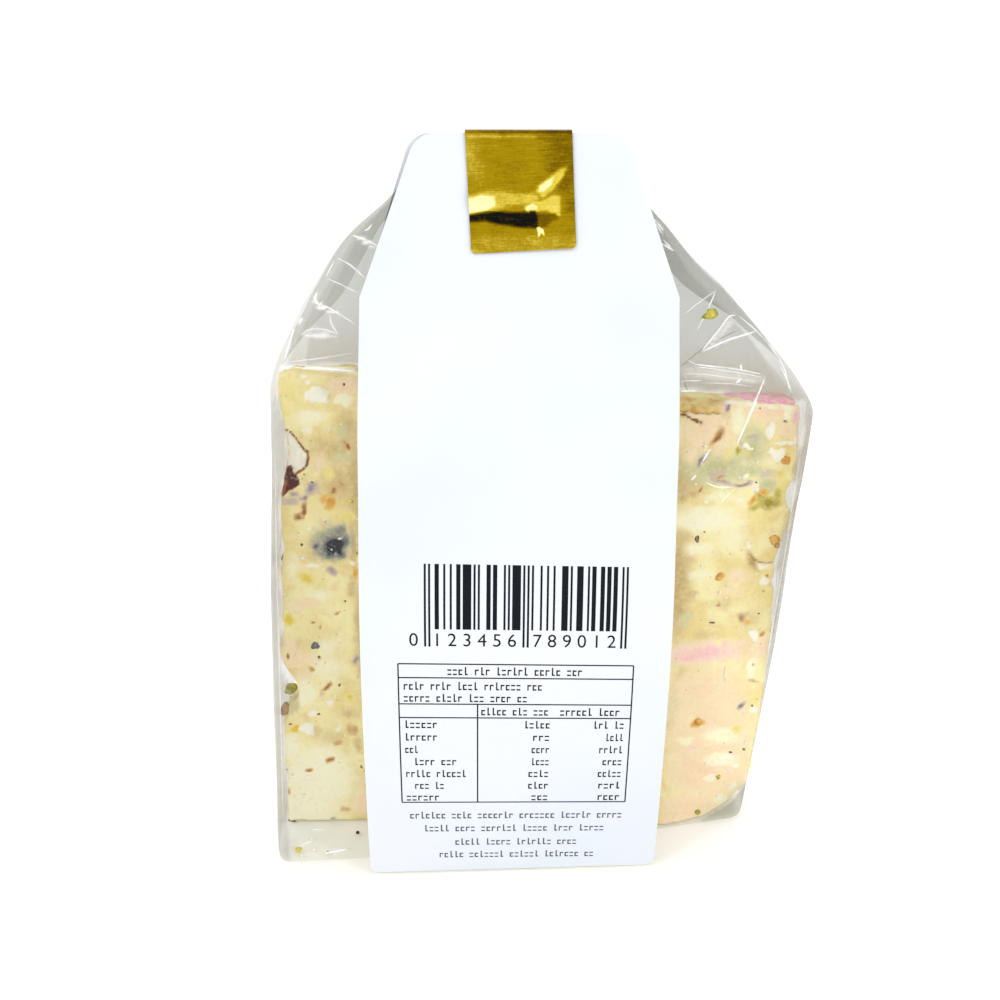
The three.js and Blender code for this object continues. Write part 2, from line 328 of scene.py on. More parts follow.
class Recipe:
    """One material's nodes."""

    def __init__(self, name: str) -> None:
        """Starts an empty material."""
        self.material = bpy.data.materials.new(name)
        self.material.use_nodes = True
        self.tree = self.material.node_tree
        self.tree.nodes.clear()

    def add(self, kind: str, settings: dict, inputs: dict) -> bpy.types.Node:
        """Adds a node.

        Args:
            kind: the node's type.
            settings: its own properties, set first.
            inputs: a value or a link for each socket, by its name or number.

        Returns:
            The node.
        """
        node = self.tree.nodes.new(kind)
        for key, value in settings.items():
            setattr(node, key, value)
        for key, value in inputs.items():
            socket = node.inputs[key]
            if isinstance(value, Value):
                self.tree.links.new(value.socket, socket)
            elif isinstance(value, bpy.types.NodeSocket):
                self.tree.links.new(value, socket)
            elif socket.type == "RGBA" and len(value) == 3:
                socket.default_value = (*value, 1.0)
            else:
                socket.default_value = value
        return node

    def place(self, stretch: Colour = (1.0, 1.0, 1.0)) -> bpy.types.NodeSocket:
        """The piece's own coordinates in metres, stretched along each axis."""
        source = self.add("ShaderNodeTexCoord", {}, {})
        node = self.add(
            "ShaderNodeMapping", {}, {"Vector": source.outputs["Object"], "Scale": stretch}
        )
        return node.outputs["Vector"]

    def noise(
        self,
        size: float,
        detail: float = 3.0,
        stretch: Colour = (1.0, 1.0, 1.0),
        warp: float = 0.0,
    ) -> Value:
        """Noise from 0 to 1 with bumps of a size in mm."""
        node = self.add(
            "ShaderNodeTexNoise",
            {},
            {
                "Vector": self.place(stretch),
                "Scale": 1.0 / (size * MM),
                "Detail": detail,
                "Distortion": warp,
            },
        )
        return Value(self, node.outputs["Fac"])

    def cells(self, size: float, randomness: float = 1.0) -> Value:
        """The distance from the middle of the nearest cell, for cells of a size in mm."""
        node = self.add(
            "ShaderNodeTexVoronoi",
            {},
            {"Vector": self.place(), "Scale": 1.0 / (size * MM), "Randomness": randomness},
        )
        return Value(self, node.outputs["Distance"])

    def painted(self, name: str) -> Value:
        """A number that was painted on the piece's corners."""
        node = self.add("ShaderNodeAttribute", {"attribute_name": name}, {})
        return Value(self, node.outputs["Fac"])

    def blend(
        self,
        first: Colour | bpy.types.NodeSocket,
        second: Colour | bpy.types.NodeSocket,
        share: Value | float,
    ) -> bpy.types.NodeSocket:
        """A colour between two, by the second one's share."""
        node = self.add(
            "ShaderNodeMix",
            {"data_type": "RGBA"},
            {"Factor": share, 6: first, 7: second},
        )
        return node.outputs[2]

    def relief(self, height: Value, depth: float, strength: float = 1.0) -> bpy.types.NodeSocket:
        """A normal bent by a height that stands up to a depth in mm."""
        node = self.add(
            "ShaderNodeBump",
            {},
            {"Height": height, "Distance": depth * MM, "Strength": strength},
        )
        return node.outputs["Normal"]

    def edge_on(self, facing: float) -> Value:
        """0 face on and 1 edge on."""
        node = self.add("ShaderNodeLayerWeight", {}, {"Blend": facing})
        return Value(self, node.outputs["Facing"])

    def surface(self, **inputs: object) -> bpy.types.Node:
        """The main shader. Underscores in the names stand for spaces."""
        named = {key.replace("_", " "): value for key, value in inputs.items()}
        return self.add("ShaderNodeBsdfPrincipled", {}, named)

    def finish(self, shader: bpy.types.Node) -> bpy.types.Material:
        """Wires the last shader to the output."""
        self.add("ShaderNodeOutputMaterial", {}, {"Surface": shader.outputs[0]})
        return self.material

    def see_through(self, share: Value, clear: Colour, shader: bpy.types.Node) -> bpy.types.Material:
        """Finishes a material that is partly clear.

        Args:
            share: how much of the solid shader shows.
            clear: the tint of the rest.
            shader: the solid shader.

        Returns:
            The material.
        """
        open_part = self.add("ShaderNodeBsdfTransparent", {}, {"Color": clear})
        mix = self.add(
            "ShaderNodeMixShader",
            {},
            {"Fac": share, 1: open_part.outputs[0], 2: shader.outputs[0]},
        )
        return self.finish(mix)


@dataclass(frozen=True)
class FilmFinish:
    """Clear crisp film: grey where it hangs free and nearly unseen on the slab. The grey is partly its own
    haze and partly painted shade for the darker surroundings seen through it.
    """

    # the film's grey, partly its own haze and partly painted shade
    body: Colour = srgb(103, 106, 97)
    warm: Colour = srgb(134, 132, 120)
    lit: Colour = srgb(142, 126, 86)
    # the white of the painted highlights
    flash: Colour = srgb(252, 252, 248)
    tint: Colour = srgb(254, 254, 252)
    least: float = 0.03  # how much of it shows where it lies on the slab
    haze: float = 0.27
    streaks: float = 0.1
    # how much more of the film shows where the slab's painted warm light lies
    glow: float = 0.13
    rim: float = 0.16
    shine: float = 0.55

    def make(self) -> bpy.types.Material:
        """The material."""
        r = Recipe("clear_film")
        free, glow, flare = (r.painted(name) for name in ("free", "glow", "flare"))
        streak = r.noise(5.0, detail=4.0, stretch=(1.0, 1.0, 0.4), warp=1.0)
        # painted shade: the film's grey where it hangs free, with its own haze
        haze = free * (self.haze + self.streaks * streak + self.glow * glow)
        rim = r.edge_on(0.35) ** 3.0
        # painted highlight: the film shows white where the painted highlight patches lie, broken by the
        # streaks
        shine = (flare * (0.45 + 0.7 * streak)).held()
        share = (self.least + haze + self.rim * rim + self.shine * shine).held()
        wrinkle = r.noise(3.2, detail=2.0, warp=0.6)
        body = r.blend(self.body, self.warm, streak.between(0.5, 0.72))
        # painted light: the slab's warm glow painted on the film beside it
        body = r.blend(body, self.lit, (0.75 * glow * free).held())
        shader = r.surface(
            Base_Color=r.blend(body, self.flash, shine.between(0.02, 0.6)),
            Roughness=0.1 + 0.08 * r.noise(9.0),
            IOR=1.5,
            Normal=r.relief(wrinkle, 0.3, 0.5),
        )
        return r.see_through(share, self.tint, shader)


@dataclass(frozen=True)
class CreaseFinish:
    """A sharp fold in the film, painted white along its crest as a painted highlight over its glossy ridge.
    """

    dull: Colour = srgb(240, 240, 236)
    bright: Colour = srgb(255, 255, 255)

    def make(self) -> bpy.types.Material:
        """The material."""
        r = Recipe("painted_crease_highlight")
        body = r.painted("body")
        broken = r.noise(1.8, detail=2.0).between(0.2, 0.5)
        share = (body * (0.45 + 0.5 * broken)).held()
        shader = r.surface(
            Base_Color=r.blend(self.dull, self.bright, broken),
            Roughness=0.18 + 0.1 * broken,
            IOR=1.6,
            Coat_Weight=1.0,
            Coat_Roughness=0.08,
            Normal=r.relief(broken, 0.06),
        )
        return r.see_through(share, self.bright, shader)


@dataclass(frozen=True)
class CardFinish:
    """Smooth coated white card."""

    face: Colour = srgb(223, 226, 231)
    shade: Colour = srgb(216, 222, 228)

    def make(self) -> bpy.types.Material:
        """The material."""
        r = Recipe("coated_card")
        cloud = r.noise(45.0, detail=2.0)
        fibre = r.noise(0.35, detail=3.0)
        shader = r.surface(
            Base_Color=r.blend(self.face, self.shade, cloud.between(0.35, 0.7)),
            Roughness=0.5 + 0.08 * fibre,
            Normal=r.relief(fibre, 0.012, 0.5),
        )
        return r.finish(shader)


@dataclass(frozen=True)
class InkFinish:
    """Printed ink in one colour."""

    name: str
    colour: Colour
    worn: Colour = srgb(90, 98, 104)

    def make(self) -> bpy.types.Material:
        """The material."""
        r = Recipe(self.name)
        wear = r.noise(0.4, detail=2.0).between(0.62, 0.8)
        shader = r.surface(
            Base_Color=r.blend(self.colour, self.worn, 0.2 * wear),
            Roughness=0.55 + 0.1 * wear,
            Specular_IOR_Level=0.1,
        )
        return r.finish(shader)


@dataclass(frozen=True)
class FoilFinish:
    """Gold foil with a fine grain across it; the dark and bright sides of its creases are painted shade and
    painted highlights in its colour.
    """

    shadow: Colour = srgb(20, 22, 18)
    deep: Colour = srgb(112, 86, 6)
    middle: Colour = srgb(166, 137, 12)
    bright: Colour = srgb(222, 200, 72)
    glint: Colour = srgb(252, 244, 178)

    def make(self) -> bpy.types.Material:
        """The material."""
        r = Recipe("gold_foil")
        brushed = r.noise(0.34, detail=4.0, stretch=(0.1, 1.0, 1.5))
        speckle = r.noise(0.5, detail=3.0)
        cloud = r.noise(4.0, detail=3.0, warp=0.5)
        # painted light: the painted number runs from painted shadow at 0 through plain gold to a painted
        # glint at 1
        shade = r.painted("shade")
        tone = shade + 0.3 * (brushed - 0.5) + 0.22 * (speckle - 0.5) + 0.2 * (cloud - 0.5)
        colour = r.blend(self.shadow, self.deep, tone.between(0.0, 0.3))
        colour = r.blend(colour, self.middle, tone.between(0.26, 0.52))
        colour = r.blend(colour, self.bright, tone.between(0.5, 0.76))
        colour = r.blend(colour, self.glint, tone.between(0.76, 1.0))
        shader = r.surface(
            Base_Color=colour,
            Metallic=1.0,
            Roughness=0.24 + 0.2 * brushed,
            Normal=r.relief(brushed + 0.6 * speckle, 0.05, 0.6),
        )
        return r.finish(shader)


class Stain(Enum):
    """The colours that show in the slab's skin, as (rim, middle), in the order they are laid."""

    # tan, and painted shade: the cards' shadows beside their edges and the shade in a notch
    TAN = (srgb(224, 200, 142), srgb(196, 168, 108))
    # green-grey, and painted shade beside the card's right edge
    GREEN = (srgb(216, 212, 166), srgb(186, 186, 128))
    PEACH = (srgb(252, 229, 190), srgb(253, 222, 186))
    PALE = (srgb(255, 249, 214), srgb(255, 251, 222))
    YELLOW = (srgb(244, 228, 148), srgb(234, 208, 72))
    PINK = (srgb(253, 222, 206), srgb(252, 198, 200))
    OLIVE = (srgb(206, 190, 92), srgb(146, 132, 26))
    LILAC = (srgb(206, 190, 176), srgb(150, 128, 134))
    AMBER = (srgb(236, 194, 104), srgb(216, 154, 40))
    CARAMEL = (srgb(220, 182, 126), srgb(156, 94, 44))
    BERRY = (srgb(140, 144, 136), srgb(12, 20, 46))
    ROSE = (srgb(244, 160, 166), srgb(228, 72, 110))
    IVORY = (srgb(250, 242, 220), srgb(255, 250, 236))
    MAROON = (srgb(124, 64, 48), srgb(80, 24, 34))
    # painted highlight: the orange-brown on the cranberry's left side
    RUST = (srgb(160, 92, 44), srgb(156, 76, 30))
    SUNNY = (srgb(248, 222, 112), srgb(242, 196, 36))
    CRUST = (srgb(253, 244, 216), srgb(255, 250, 234))
    # the dark of the cracks: painted shade in their recesses, over the brown inside them
    CRACK = (srgb(166, 122, 74), srgb(96, 50, 34))


@dataclass(frozen=True)
class SlabFinish:
    """White chocolate with the colours of what is sunk in it, and some painted shade and painted highlight
    among them.
    """

    cream: Colour = srgb(253, 241, 184)
    butter: Colour = srgb(241, 219, 148)
    toffee: Colour = srgb(232, 200, 150)
    crumb: Colour = srgb(226, 174, 92)
    flake: Colour = srgb(252, 226, 154)
    speck: Colour = srgb(252, 248, 230)
    pore: Colour = srgb(255, 251, 228)
    pit: Colour = srgb(206, 170, 108)
    mote: Colour = srgb(176, 132, 84)

    def make(self) -> bpy.types.Material:
        """The material."""
        r = Recipe("white_chocolate")
        cloud = r.noise(9.0, detail=4.0, warp=0.6)
        colour = r.blend(self.cream, self.butter, cloud.between(0.38, 0.66))
        colour = r.blend(colour, self.toffee, 0.45 * r.noise(4.0, 4.0).between(0.54, 0.74))
        torn = r.noise(1.5, detail=5.0, warp=0.4)
        for stain in Stain:
            rim, middle = stain.value
            share = r.painted(stain.name.lower()) * (0.55 + 0.9 * torn)
            colour = r.blend(colour, rim, share.between(0.04, 0.5))
            colour = r.blend(colour, middle, share.between(0.42, 0.95))
        crumbs = r.noise(3.4, detail=3.0).between(0.36, 0.6)
        crumbly = r.blend(self.crumb, self.flake, crumbs)
        colour = r.blend(colour, crumbly, r.painted("chipped").between(0.2, 0.6))
        speck = 1 - r.cells(2.6).between(0.08, 0.14)
        few = r.noise(5.0, detail=1.0).between(0.5, 0.56)
        colour = r.blend(colour, self.speck, 0.7 * speck * few)
        pores = r.noise(0.9, detail=4.0)
        colour = r.blend(colour, self.pore, 0.2 * pores.between(0.52, 0.7))
        colour = r.blend(colour, self.pit, 0.14 * (1 - pores).between(0.54, 0.72))
        mote = 1 - r.cells(3.7).between(0.05, 0.1)
        colour = r.blend(colour, self.mote, 0.3 * mote)
        fine = r.noise(0.6, detail=3.0)
        broad = r.noise(2.6, detail=3.0)
        rough = r.painted("rough")
        height = 0.35 * broad + (0.22 + 0.7 * rough) * fine
        shader = r.surface(
            Base_Color=colour,
            Roughness=(0.36 + 0.3 * rough + 0.1 * fine).held(),
            IOR=1.45,
            Normal=r.relief(height, 0.35, 0.6),
        )
        return r.finish(shader)


@dataclass(frozen=True)
class BitFinish:
    """Small pieces of one kind, mottled between two colours."""

    name: str
    first: Colour
    second: Colour
    gloss: float = 0.4

    def make(self) -> bpy.types.Material:
        """The material."""
        r = Recipe(self.name)
        mottle = r.noise(1.1, detail=4.0)
        shader = r.surface(
            Base_Color=r.blend(self.first, self.second, mottle.between(0.35, 0.65)),
            Roughness=self.gloss + 0.15 * mottle,
            Normal=r.relief(r.noise(0.5, 3.0), 0.15, 0.6),
        )
        return r.finish(shader)


@dataclass(frozen=True)
class FloorFinish:
    """A plain pale table."""

    colour: Colour = srgb(250, 250, 250)
    shade: Colour = srgb(247, 247, 248)
    glow: float = 0.12

    def make(self) -> bpy.types.Material:
        """The material."""
        r = Recipe("pale_floor")
        cloud = r.noise(300.0, detail=2.0)
        shader = r.surface(
            Base_Color=r.blend(self.colour, self.shade, cloud),
            Roughness=0.6 + 0.1 * cloud,
            Emission_Color=(1.0, 1.0, 1.0),
            Emission_Strength=self.glow,
        )
        return r.finish(shader)


# ---- The bag ----


@dataclass(frozen=True)
class ClearBag:
    """The gusseted film bag, as the solid of the same name has it."""

    height: float = 157.0
    base_rounding: float = 1.8
    corner_rounding: float = 3.2
    left_fold: Profile = Profile((
        (0, -60.4), (50, -59.6), (85, -58.8), (108, -58.3), (115, -56.9), (122, -53.7),
        (131, -48.4), (143, -39.3), (150, -31.3), (157, -24.8),
    ))
    right_fold: Profile = Profile((
        (0, 52), (30, 54.8), (70, 58), (101, 61.2), (105.5, 60.8), (112, 56.3),
        (121, 48.4), (133, 36.5), (143, 27.5), (150, 20.9), (157, 16.7),
    ))
    front_left: Profile = Profile((
        (0, -22.2), (60, -13.4), (108, -4.5), (132, -2.6), (145, -1.9), (157, -1.3),
    ))
    front_right: Profile = Profile((
        (0, -4.6), (60, -3.4), (108, -1.2), (132, -1.6), (145, -1.6), (157, -1.3),
    ))
    back_left: Profile = Profile((
        (0, 13), (60, 17.5), (108, 21.4), (120, 16.2), (132, 9.4), (145, 2.6), (152, 0.3),
        (157, -0.1),
    ))
    back_right: Profile = Profile((
        (0, 19.5), (60, 22), (108, 23.4), (120, 17.4), (132, 9.8), (145, 2.6), (152, 0.3),
        (157, -0.1),
    ))
    front_swell: Profile = Profile((
        (0, 2.2), (30, 8.6), (62, 12.6), (90, 11.4), (108, 9), (120, 5.2), (132, 2.6),
        (145, 0.8), (151, 0.1), (157, 0),
    ))
    back_swell: Profile = Profile(
        ((0, 1), (60, 1.6), (108, 1.2), (132, 0.8), (145, 0.4), (157, 0))
    )
    left_bow: Profile = Profile(((0, 1.1), (60, 1.4), (100, 0.5), (108, 0), (157, 0)))
    right_bow: Profile = Profile(((0, 0.9), (46, 1.9), (90, 1), (104, 0.5), (112, 0), (157, 0)))
    gusset: Profile = Profile(((0, 0), (108, 0), (118, 2.4), (132, 7), (150, 3), (157, 0.3)))
    gathers: int = 5
    gather_depth: Profile = Profile(
        ((0, 0), (108, 0), (132, 0.7), (145, 0.3), (151, 0.1), (157, 0))
    )
    crinkle: Profile = Profile((
        (0, 0.12), (60, 0.14), (100, 0.2), (114, 0.5), (128, 0.62), (142, 0.35), (150, 0.1),
        (157, 0),
    ))
    crinkle_cells: int = 320
    facet: float = 11.0
    squeeze: tuple[float, float, float] = (1.0, 1.0, 0.75)
    ripple: float = 14.0
    rounding_rings: int = 5
    base_rings: int = 13
    corner_steps: int = 6
    front_columns: int = 200
    back_columns: int = 110
    side_columns: int = 30
    row_step: float = 0.84
    folding: tuple[float, float] = (100.0, 112.0)  # the heights between which the sides fold in
    side_clearness: tuple[float, float] = (0.35, 0.55)  # how clear the right and left sides are there

    # patches of painted highlight on the film's front
    flares: tuple[Patch, ...] = (
        Patch(((-38.7, 142.8), (-36, 142.1), (-33.7, 140.3), (-35.3, 140.3), (-37.6, 141.6)), 1.0, 0.7),
        Patch((
            (-48.4, 130.1), (-46.8, 130.9), (-46.1, 128.7), (-44.5, 127.6), (-42.2, 126.9), (-44.6, 126.8),
            (-47.3, 127.9),
        ), 1.2),
        Patch((
            (-52.3, 124), (-50.6, 123), (-48.2, 122.4), (-44.7, 123.1), (-42.4, 122), (-45.9, 121.4),
            (-49.9, 121.6), (-51.8, 122.2),
        ), 1.6, 0.6),
        Patch((
            (34.4, 118.5), (40.6, 125.8), (42.5, 126.1), (42.2, 124.6), (39.9, 122), (36.8, 119.5),
        ), 1.6, 0.42),
        Patch((
            (34.4, 118.5), (42.7, 122), (47.2, 122.7), (47.6, 122.2), (42.4, 120.8), (37.6, 119.1),
        ), 1.0, 0.35),
        Patch(((23.3, 146.8), (25.8, 142.8), (25.1, 143.1), (23.6, 145)), 0.6),
        Patch(((25.5, 142), (26.7, 140.9), (27.9, 139.8), (26.7, 140.2)), 0.6),
        Patch(((29.9, 116.4), (39.3, 115.2), (49.6, 113), (49.4, 110.7), (29.9, 113.5)), 1.6, 0.3),
        Patch(((-50.4, 115.9), (-44.5, 115.9), (-38.6, 115.4), (-38.6, 114.3), (-50.4, 114.9)), 0.7, 0.9),
        Patch((
            (-43.4, 146), (-37, 138), (-38.8, 124.4), (-44, 117.9), (-38.6, 119.2), (-34, 132), (-33.6, 142),
        ), 5.0, 0.1),
    )

    def _run(
        self, a: np.ndarray, b: np.ndarray, steps: int, bend: np.ndarray | None = None
    ) -> np.ndarray:
        """Points from a to b, straight or round a bend, without the last one."""
        k = (np.arange(steps) / steps)[None, :, None]
        a, b = a[:, None], b[:, None]
        if bend is None:
            return a + (b - a) * k
        bend = bend[:, None]
        first = a + (bend - a) * k
        return first + (bend + (b - bend) * k - first) * k

    def _panel(
        self, a: np.ndarray, b: np.ndarray, swell: np.ndarray, gather: np.ndarray, steps: int
    ) -> np.ndarray:
        """One broad panel from a to b, swollen to one side and gathered."""
        points = self._run(a, b, steps)
        across = (2 * np.arange(steps) / steps - 1)[None, :]
        points[..., 1] += swell[:, None] * (1 - across**2)
        points[..., 1] += gather[:, None] * np.sin(across * np.pi * self.gathers) * (1 - across**4)
        return points

    def _side(
        self, a: np.ndarray, b: np.ndarray, outwards: int, bow: np.ndarray, fold: np.ndarray
    ) -> np.ndarray:
        """One narrow side from a to b, bowed out by the slab and folded in above it."""
        points = self._run(a, b, self.side_columns)
        across = (2 * np.arange(self.side_columns) / self.side_columns - 1)[None, :]
        points[..., 0] += outwards * bow[:, None] * (1 - across**6)
        points[..., 0] -= outwards * fold[:, None] * (1 - np.abs(across))
        return points

    def rings(self, height: np.ndarray, inset: np.ndarray) -> np.ndarray:
        """Rings of the bag's outside.

        Args:
            height: each ring's height.
            inset: how far the film is drawn in there.

        Returns:
            Points by ring and place, anticlockwise seen from above.
        """
        left = self.left_fold.at(height) + inset
        right = self.right_fold.at(height) - inset
        corners = [
            np.stack([side, profile.at(height) + inwards * inset, height], -1)
            for side, profile, inwards in (
                (left, self.front_left, 1), (right, self.front_right, 1),
                (right, self.back_right, -1), (left, self.back_left, -1),
            )
        ]
        depth = np.minimum(*(corners[3 - i][:, 1] - corners[i][:, 1] for i in (0, 1)))
        radius = np.minimum(self.corner_rounding, depth / 3)[:, None]

        def back(a: np.ndarray, b: np.ndarray) -> np.ndarray:
            """The point a radius away from a, towards b."""
            way = b - a
            return a + radius * way / np.linalg.norm(way, axis=-1, keepdims=True)

        gather = self.gather_depth.at(height)
        fold = self.gusset.at(height)
        sides = (
            (self._panel, -self.front_swell.at(height), gather, self.front_columns),
            (self._side, 1, self.right_bow.at(height), fold),
            (self._panel, self.back_swell.at(height), -gather, self.back_columns),
            (self._side, -1, self.left_bow.at(height), fold),
        )
        parts = []
        for i, (make, *measures) in enumerate(sides):
            a, b, after = (corners[(i + k) % 4] for k in range(3))
            parts.append(make(back(a, b), back(b, a), *measures))
            parts.append(self._run(back(b, a), back(b, after), self.corner_steps, b))
        return np.concatenate(parts, axis=1)

    def _smooth_shell(self) -> np.ndarray:
        """The whole shell before it is crinkled, from the middle of its base to its top."""
        angles = np.linspace(0, np.pi / 2, self.rounding_rings)
        rounding_heights = self.base_rounding * (1 - np.cos(angles))
        rounding_insets = self.base_rounding * (1 - np.sin(angles))
        body = np.arange(self.base_rounding, self.height, self.row_step)[1:]
        heights = np.concatenate([rounding_heights, body, [self.height]])
        insets = np.concatenate([rounding_insets, np.zeros(len(body) + 1)])
        shell = self.rings(heights, insets)
        middle = shell[0].mean(axis=0)
        spread = (np.linspace(0, 1, self.base_rings + 1)[:-1] ** 0.8)[:, None, None]
        base = middle + (shell[0][None] - middle) * spread
        top_middle = shell[-1].mean(axis=0)
        closing = np.array([0.5, 0.0])[:, None, None]
        top = top_middle + (shell[-1][None] - top_middle) * closing
        return np.concatenate([base, shell, top], axis=0)

    def _crinkled(self, shell: np.ndarray) -> np.ndarray:
        """The shell with the small facets of crisp film."""
        along = np.roll(shell, -1, axis=1) - np.roll(shell, 1, axis=1)
        up = np.gradient(shell, axis=0)
        normal = np.cross(along, up)
        length = np.linalg.norm(normal, axis=-1, keepdims=True)
        normal = np.where(length > TINY, normal / np.maximum(length, TINY), 0)
        draw = np.random.default_rng(7)
        low, high = shell.reshape(-1, 3).min(axis=0), shell.reshape(-1, 3).max(axis=0)
        centres = draw.uniform(low, high, (self.crinkle_cells, 3))
        flat = shell.reshape(-1, 3) * self.squeeze
        nearest = np.full(len(flat), np.inf)
        for centre in centres * self.squeeze:
            nearest = np.minimum(nearest, ((flat - centre) ** 2).sum(axis=-1))
        facets = np.sqrt(nearest).reshape(shell.shape[:2]) / self.facet
        ripple = grain(shell, self.ripple, 3.1)
        depth = self.crinkle.at(np.clip(shell[..., 2], 0, self.height))
        edge = soft_step(0.3, 4.0, shell[..., 2])
        lift = depth * edge * (1.5 * facets**1.6 + 0.5 * ripple - 0.1)
        return shell + normal * lift[..., None]

    def build(self, slab: "Slab") -> bpy.types.Object:
        """The film, with what is free of the slab, the slab's painted warm light and the painted highlights
        stored on it.

        Args:
            slab: the slab that the film lies on.

        Returns:
            The piece that stands for the bag.
        """
        shell = self._crinkled(self._smooth_shell())
        closed = np.concatenate([shell, shell[:, :1]], axis=1)
        free, glow = (share.reshape(closed.shape[:2]) for share in slab.clear_of(closed.reshape(-1, 3)))
        first_side = np.arange(closed.shape[1]) - self.front_columns
        folds = 2 * self.corner_steps
        second_side = first_side - self.side_columns - self.back_columns - folds
        cleared = np.zeros(closed.shape[1])
        for place, clearness in zip((first_side, second_side), self.side_clearness):
            cleared += clearness * ((place >= 0) & (place < self.side_columns + folds))
        free = free * (1 - soft_step(*self.folding, closed[..., 2]) * cleared[None, :])
        # painted highlights, on the front panel only
        flare = covered(closed[..., ::2], self.flares) * (first_side < 0)[None, :]
        bm = bmesh.new()
        add_painted(bm, closed, {"free": free, "glow": glow, "flare": flare})
        weld(bm)
        return settle(bm, "clear_bag", FilmFinish().make(), ["bag"])


@dataclass(frozen=True)
class Crease:
    """One sharp fold of the film, or a crack of the slab.

    The path is given by left or right and by height, width is at its middle, and shine is
    how strongly it shows: the strength of a fold's painted highlight, or a crack's depth and painted shade.
    """

    width: float
    path: Knots
    shine: float = 1.0


@dataclass(frozen=True)
class Creases:
    """The sharp folds of the film, as ridges with painted highlights: those the front shows, and drawn ones
    elsewhere.
    """

    front: tuple[Crease, ...] = (
        Crease(0.8, ((-39, 142.7), (-36.1, 141.7), (-33.4, 140.5))),
        Crease(0.7, ((-42.5, 138.1), (-39.3, 136.5), (-36.3, 133.9)), 0.8),
        Crease(0.6, ((-44.8, 133.9), (-41.2, 132.4), (-37.5, 130.7)), 0.5),
        Crease(1.3, ((-46.9, 130.9), (-47.3, 129.4), (-46.2, 128))),
        Crease(0.7, ((-48.8, 129.1), (-44.7, 127.9), (-40.1, 125.4), (-38.5, 124.4)), 0.7),
        Crease(0.6, ((-44.2, 126.6), (-44, 124.8), (-42.4, 122.2)), 0.7),
        Crease(1.0, ((-51, 121.7), (-49, 123.1), (-46.2, 123.4), (-43.7, 122.9), (-42.7, 122.3)), 0.6),
        Crease(1.1, ((-52, 123.5), (-53.3, 119.9), (-54.5, 116.5))),
        Crease(0.6, ((-43, 137.3), (-44.8, 134.1)), 0.7),
        Crease(1.3, ((-50, 125.6), (-50.6, 124.9), (-51.1, 123.9)), 0.8),
        Crease(0.7, ((-34.8, 144.9), (-35.4, 144.1), (-36.5, 143.5)), 0.8),
        Crease(0.5, ((-54.9, 116), (-46, 117.5), (-38.9, 118.8)), 0.4),
        Crease(0.5, ((-54.9, 115.4), (-47.6, 115.1), (-38.6, 115.9)), 0.5),
        Crease(0.9, ((-50.4, 115.4), (-44.5, 115.3), (-38.6, 114.9))),
        Crease(0.9, ((23.1, 146.2), (24.4, 144.9), (25.7, 143.4)), 0.8),
        Crease(1.0, ((25, 141.1), (26.5, 140.3), (28.1, 139.4)), 0.8),
        Crease(0.6, ((37.3, 131.1), (35.2, 126.2), (33.5, 123)), 0.9),
        Crease(0.8, ((34.4, 118.5), (38.3, 122.9), (40.6, 125.8), (42.4, 125.9))),
        Crease(0.8, ((34.4, 118.5), (40.8, 120.9), (47.4, 122.6))),
        Crease(0.7, ((42.1, 126.1), (46.3, 122.8), (50.3, 118.6), (53.5, 114), (54.8, 109.3)), 0.8),
        Crease(0.6, ((31, 117.7), (32.1, 116.8), (33.2, 116.2), (42.3, 114.7), (48.9, 113.1)), 0.8),
        Crease(0.5, ((32.1, 115.9), (42.3, 114.1), (48.9, 112.5)), 0.5),
        Crease(0.4, ((29.9, 114.5), (35.4, 114), (43.2, 112.6), (48, 111.5)), 0.5),
        Crease(0.4, ((29.9, 113), (34.8, 112.8)), 0.6),
        Crease(0.4, ((34.3, 112.4), (41, 111.8), (46.6, 110.7)), 0.4),
        Crease(0.6, ((29.9, 110.9), (33.7, 110.8))),
        Crease(0.9, ((49.3, 112.9), (46.6, 107.1), (44.4, 102.1), (42.7, 98.1))),
        Crease(0.5, ((52.3, 115), (54.5, 111.1), (55.3, 108.7)), 0.8),
        Crease(0.9, ((43.4, 115.6), (43.6, 114.4))),
        Crease(0.9, ((42.3, 111.8), (43.7, 112.7))),
        Crease(0.5, ((37.9, 131.6), (33.9, 128.9), (30.6, 126.5)), 0.5),
        Crease(0.8, ((37.1, 98.4), (36.1, 97), (35.3, 95.6))),
        Crease(0.7, ((34.1, 93), (32.9, 91.9))),
        Crease(0.6, ((36.2, 91.2), (39.1, 89.8), (43.1, 89.4)), 0.7),
        Crease(0.4, ((43.4, 89.1), (41.3, 87.4), (39.8, 85.6)), 0.5),
        Crease(0.4, ((-55.7, 4.7), (-51.9, 6.5)), 0.6),
        Crease(0.4, ((-52.6, 9.2), (-48.9, 9.1)), 0.6),
        Crease(1.0, ((-49.7, 2.8), (-44.3, 3.8))),
        Crease(0.5, (
            (-57.2, 108.2), (-57.7, 82.3), (-58, 55.5), (-58.5, 26.8), (-58.9, 4.1),
        ), 0.35),
        Crease(0.5, (
            (59.2, 105.1), (58.1, 89.2), (56.9, 70.1), (55.2, 47.4), (54.1, 22.9), (51.9, 1),
        ), 0.35),
    )
    drawn_behind: int = 34
    drawn_aside: int = 16
    drawn_shine: float = 0.8
    steps: int = 14
    around: int = 16
    bulge: float = 0.22  # how high a ridge is, as a share of its width
    proud: float = 0.06
    outside: tuple[float, float] = (90.0, 120.0)  # mm to where rays start, in front and beside

    def _along(self, path: Knots) -> tuple[np.ndarray, np.ndarray]:
        """Evenly spread places on a path, as two rows of numbers."""
        knots = np.array(path, dtype=float)
        lengths = np.linalg.norm(np.diff(knots, axis=0), axis=1)
        reached = np.concatenate([[0], np.cumsum(lengths)])
        spread = np.linspace(0, reached[-1], self.steps + 1)
        first, second = (Profile(tuple(zip(reached, knots[:, i]))).at(spread) for i in (0, 1))
        return first, second

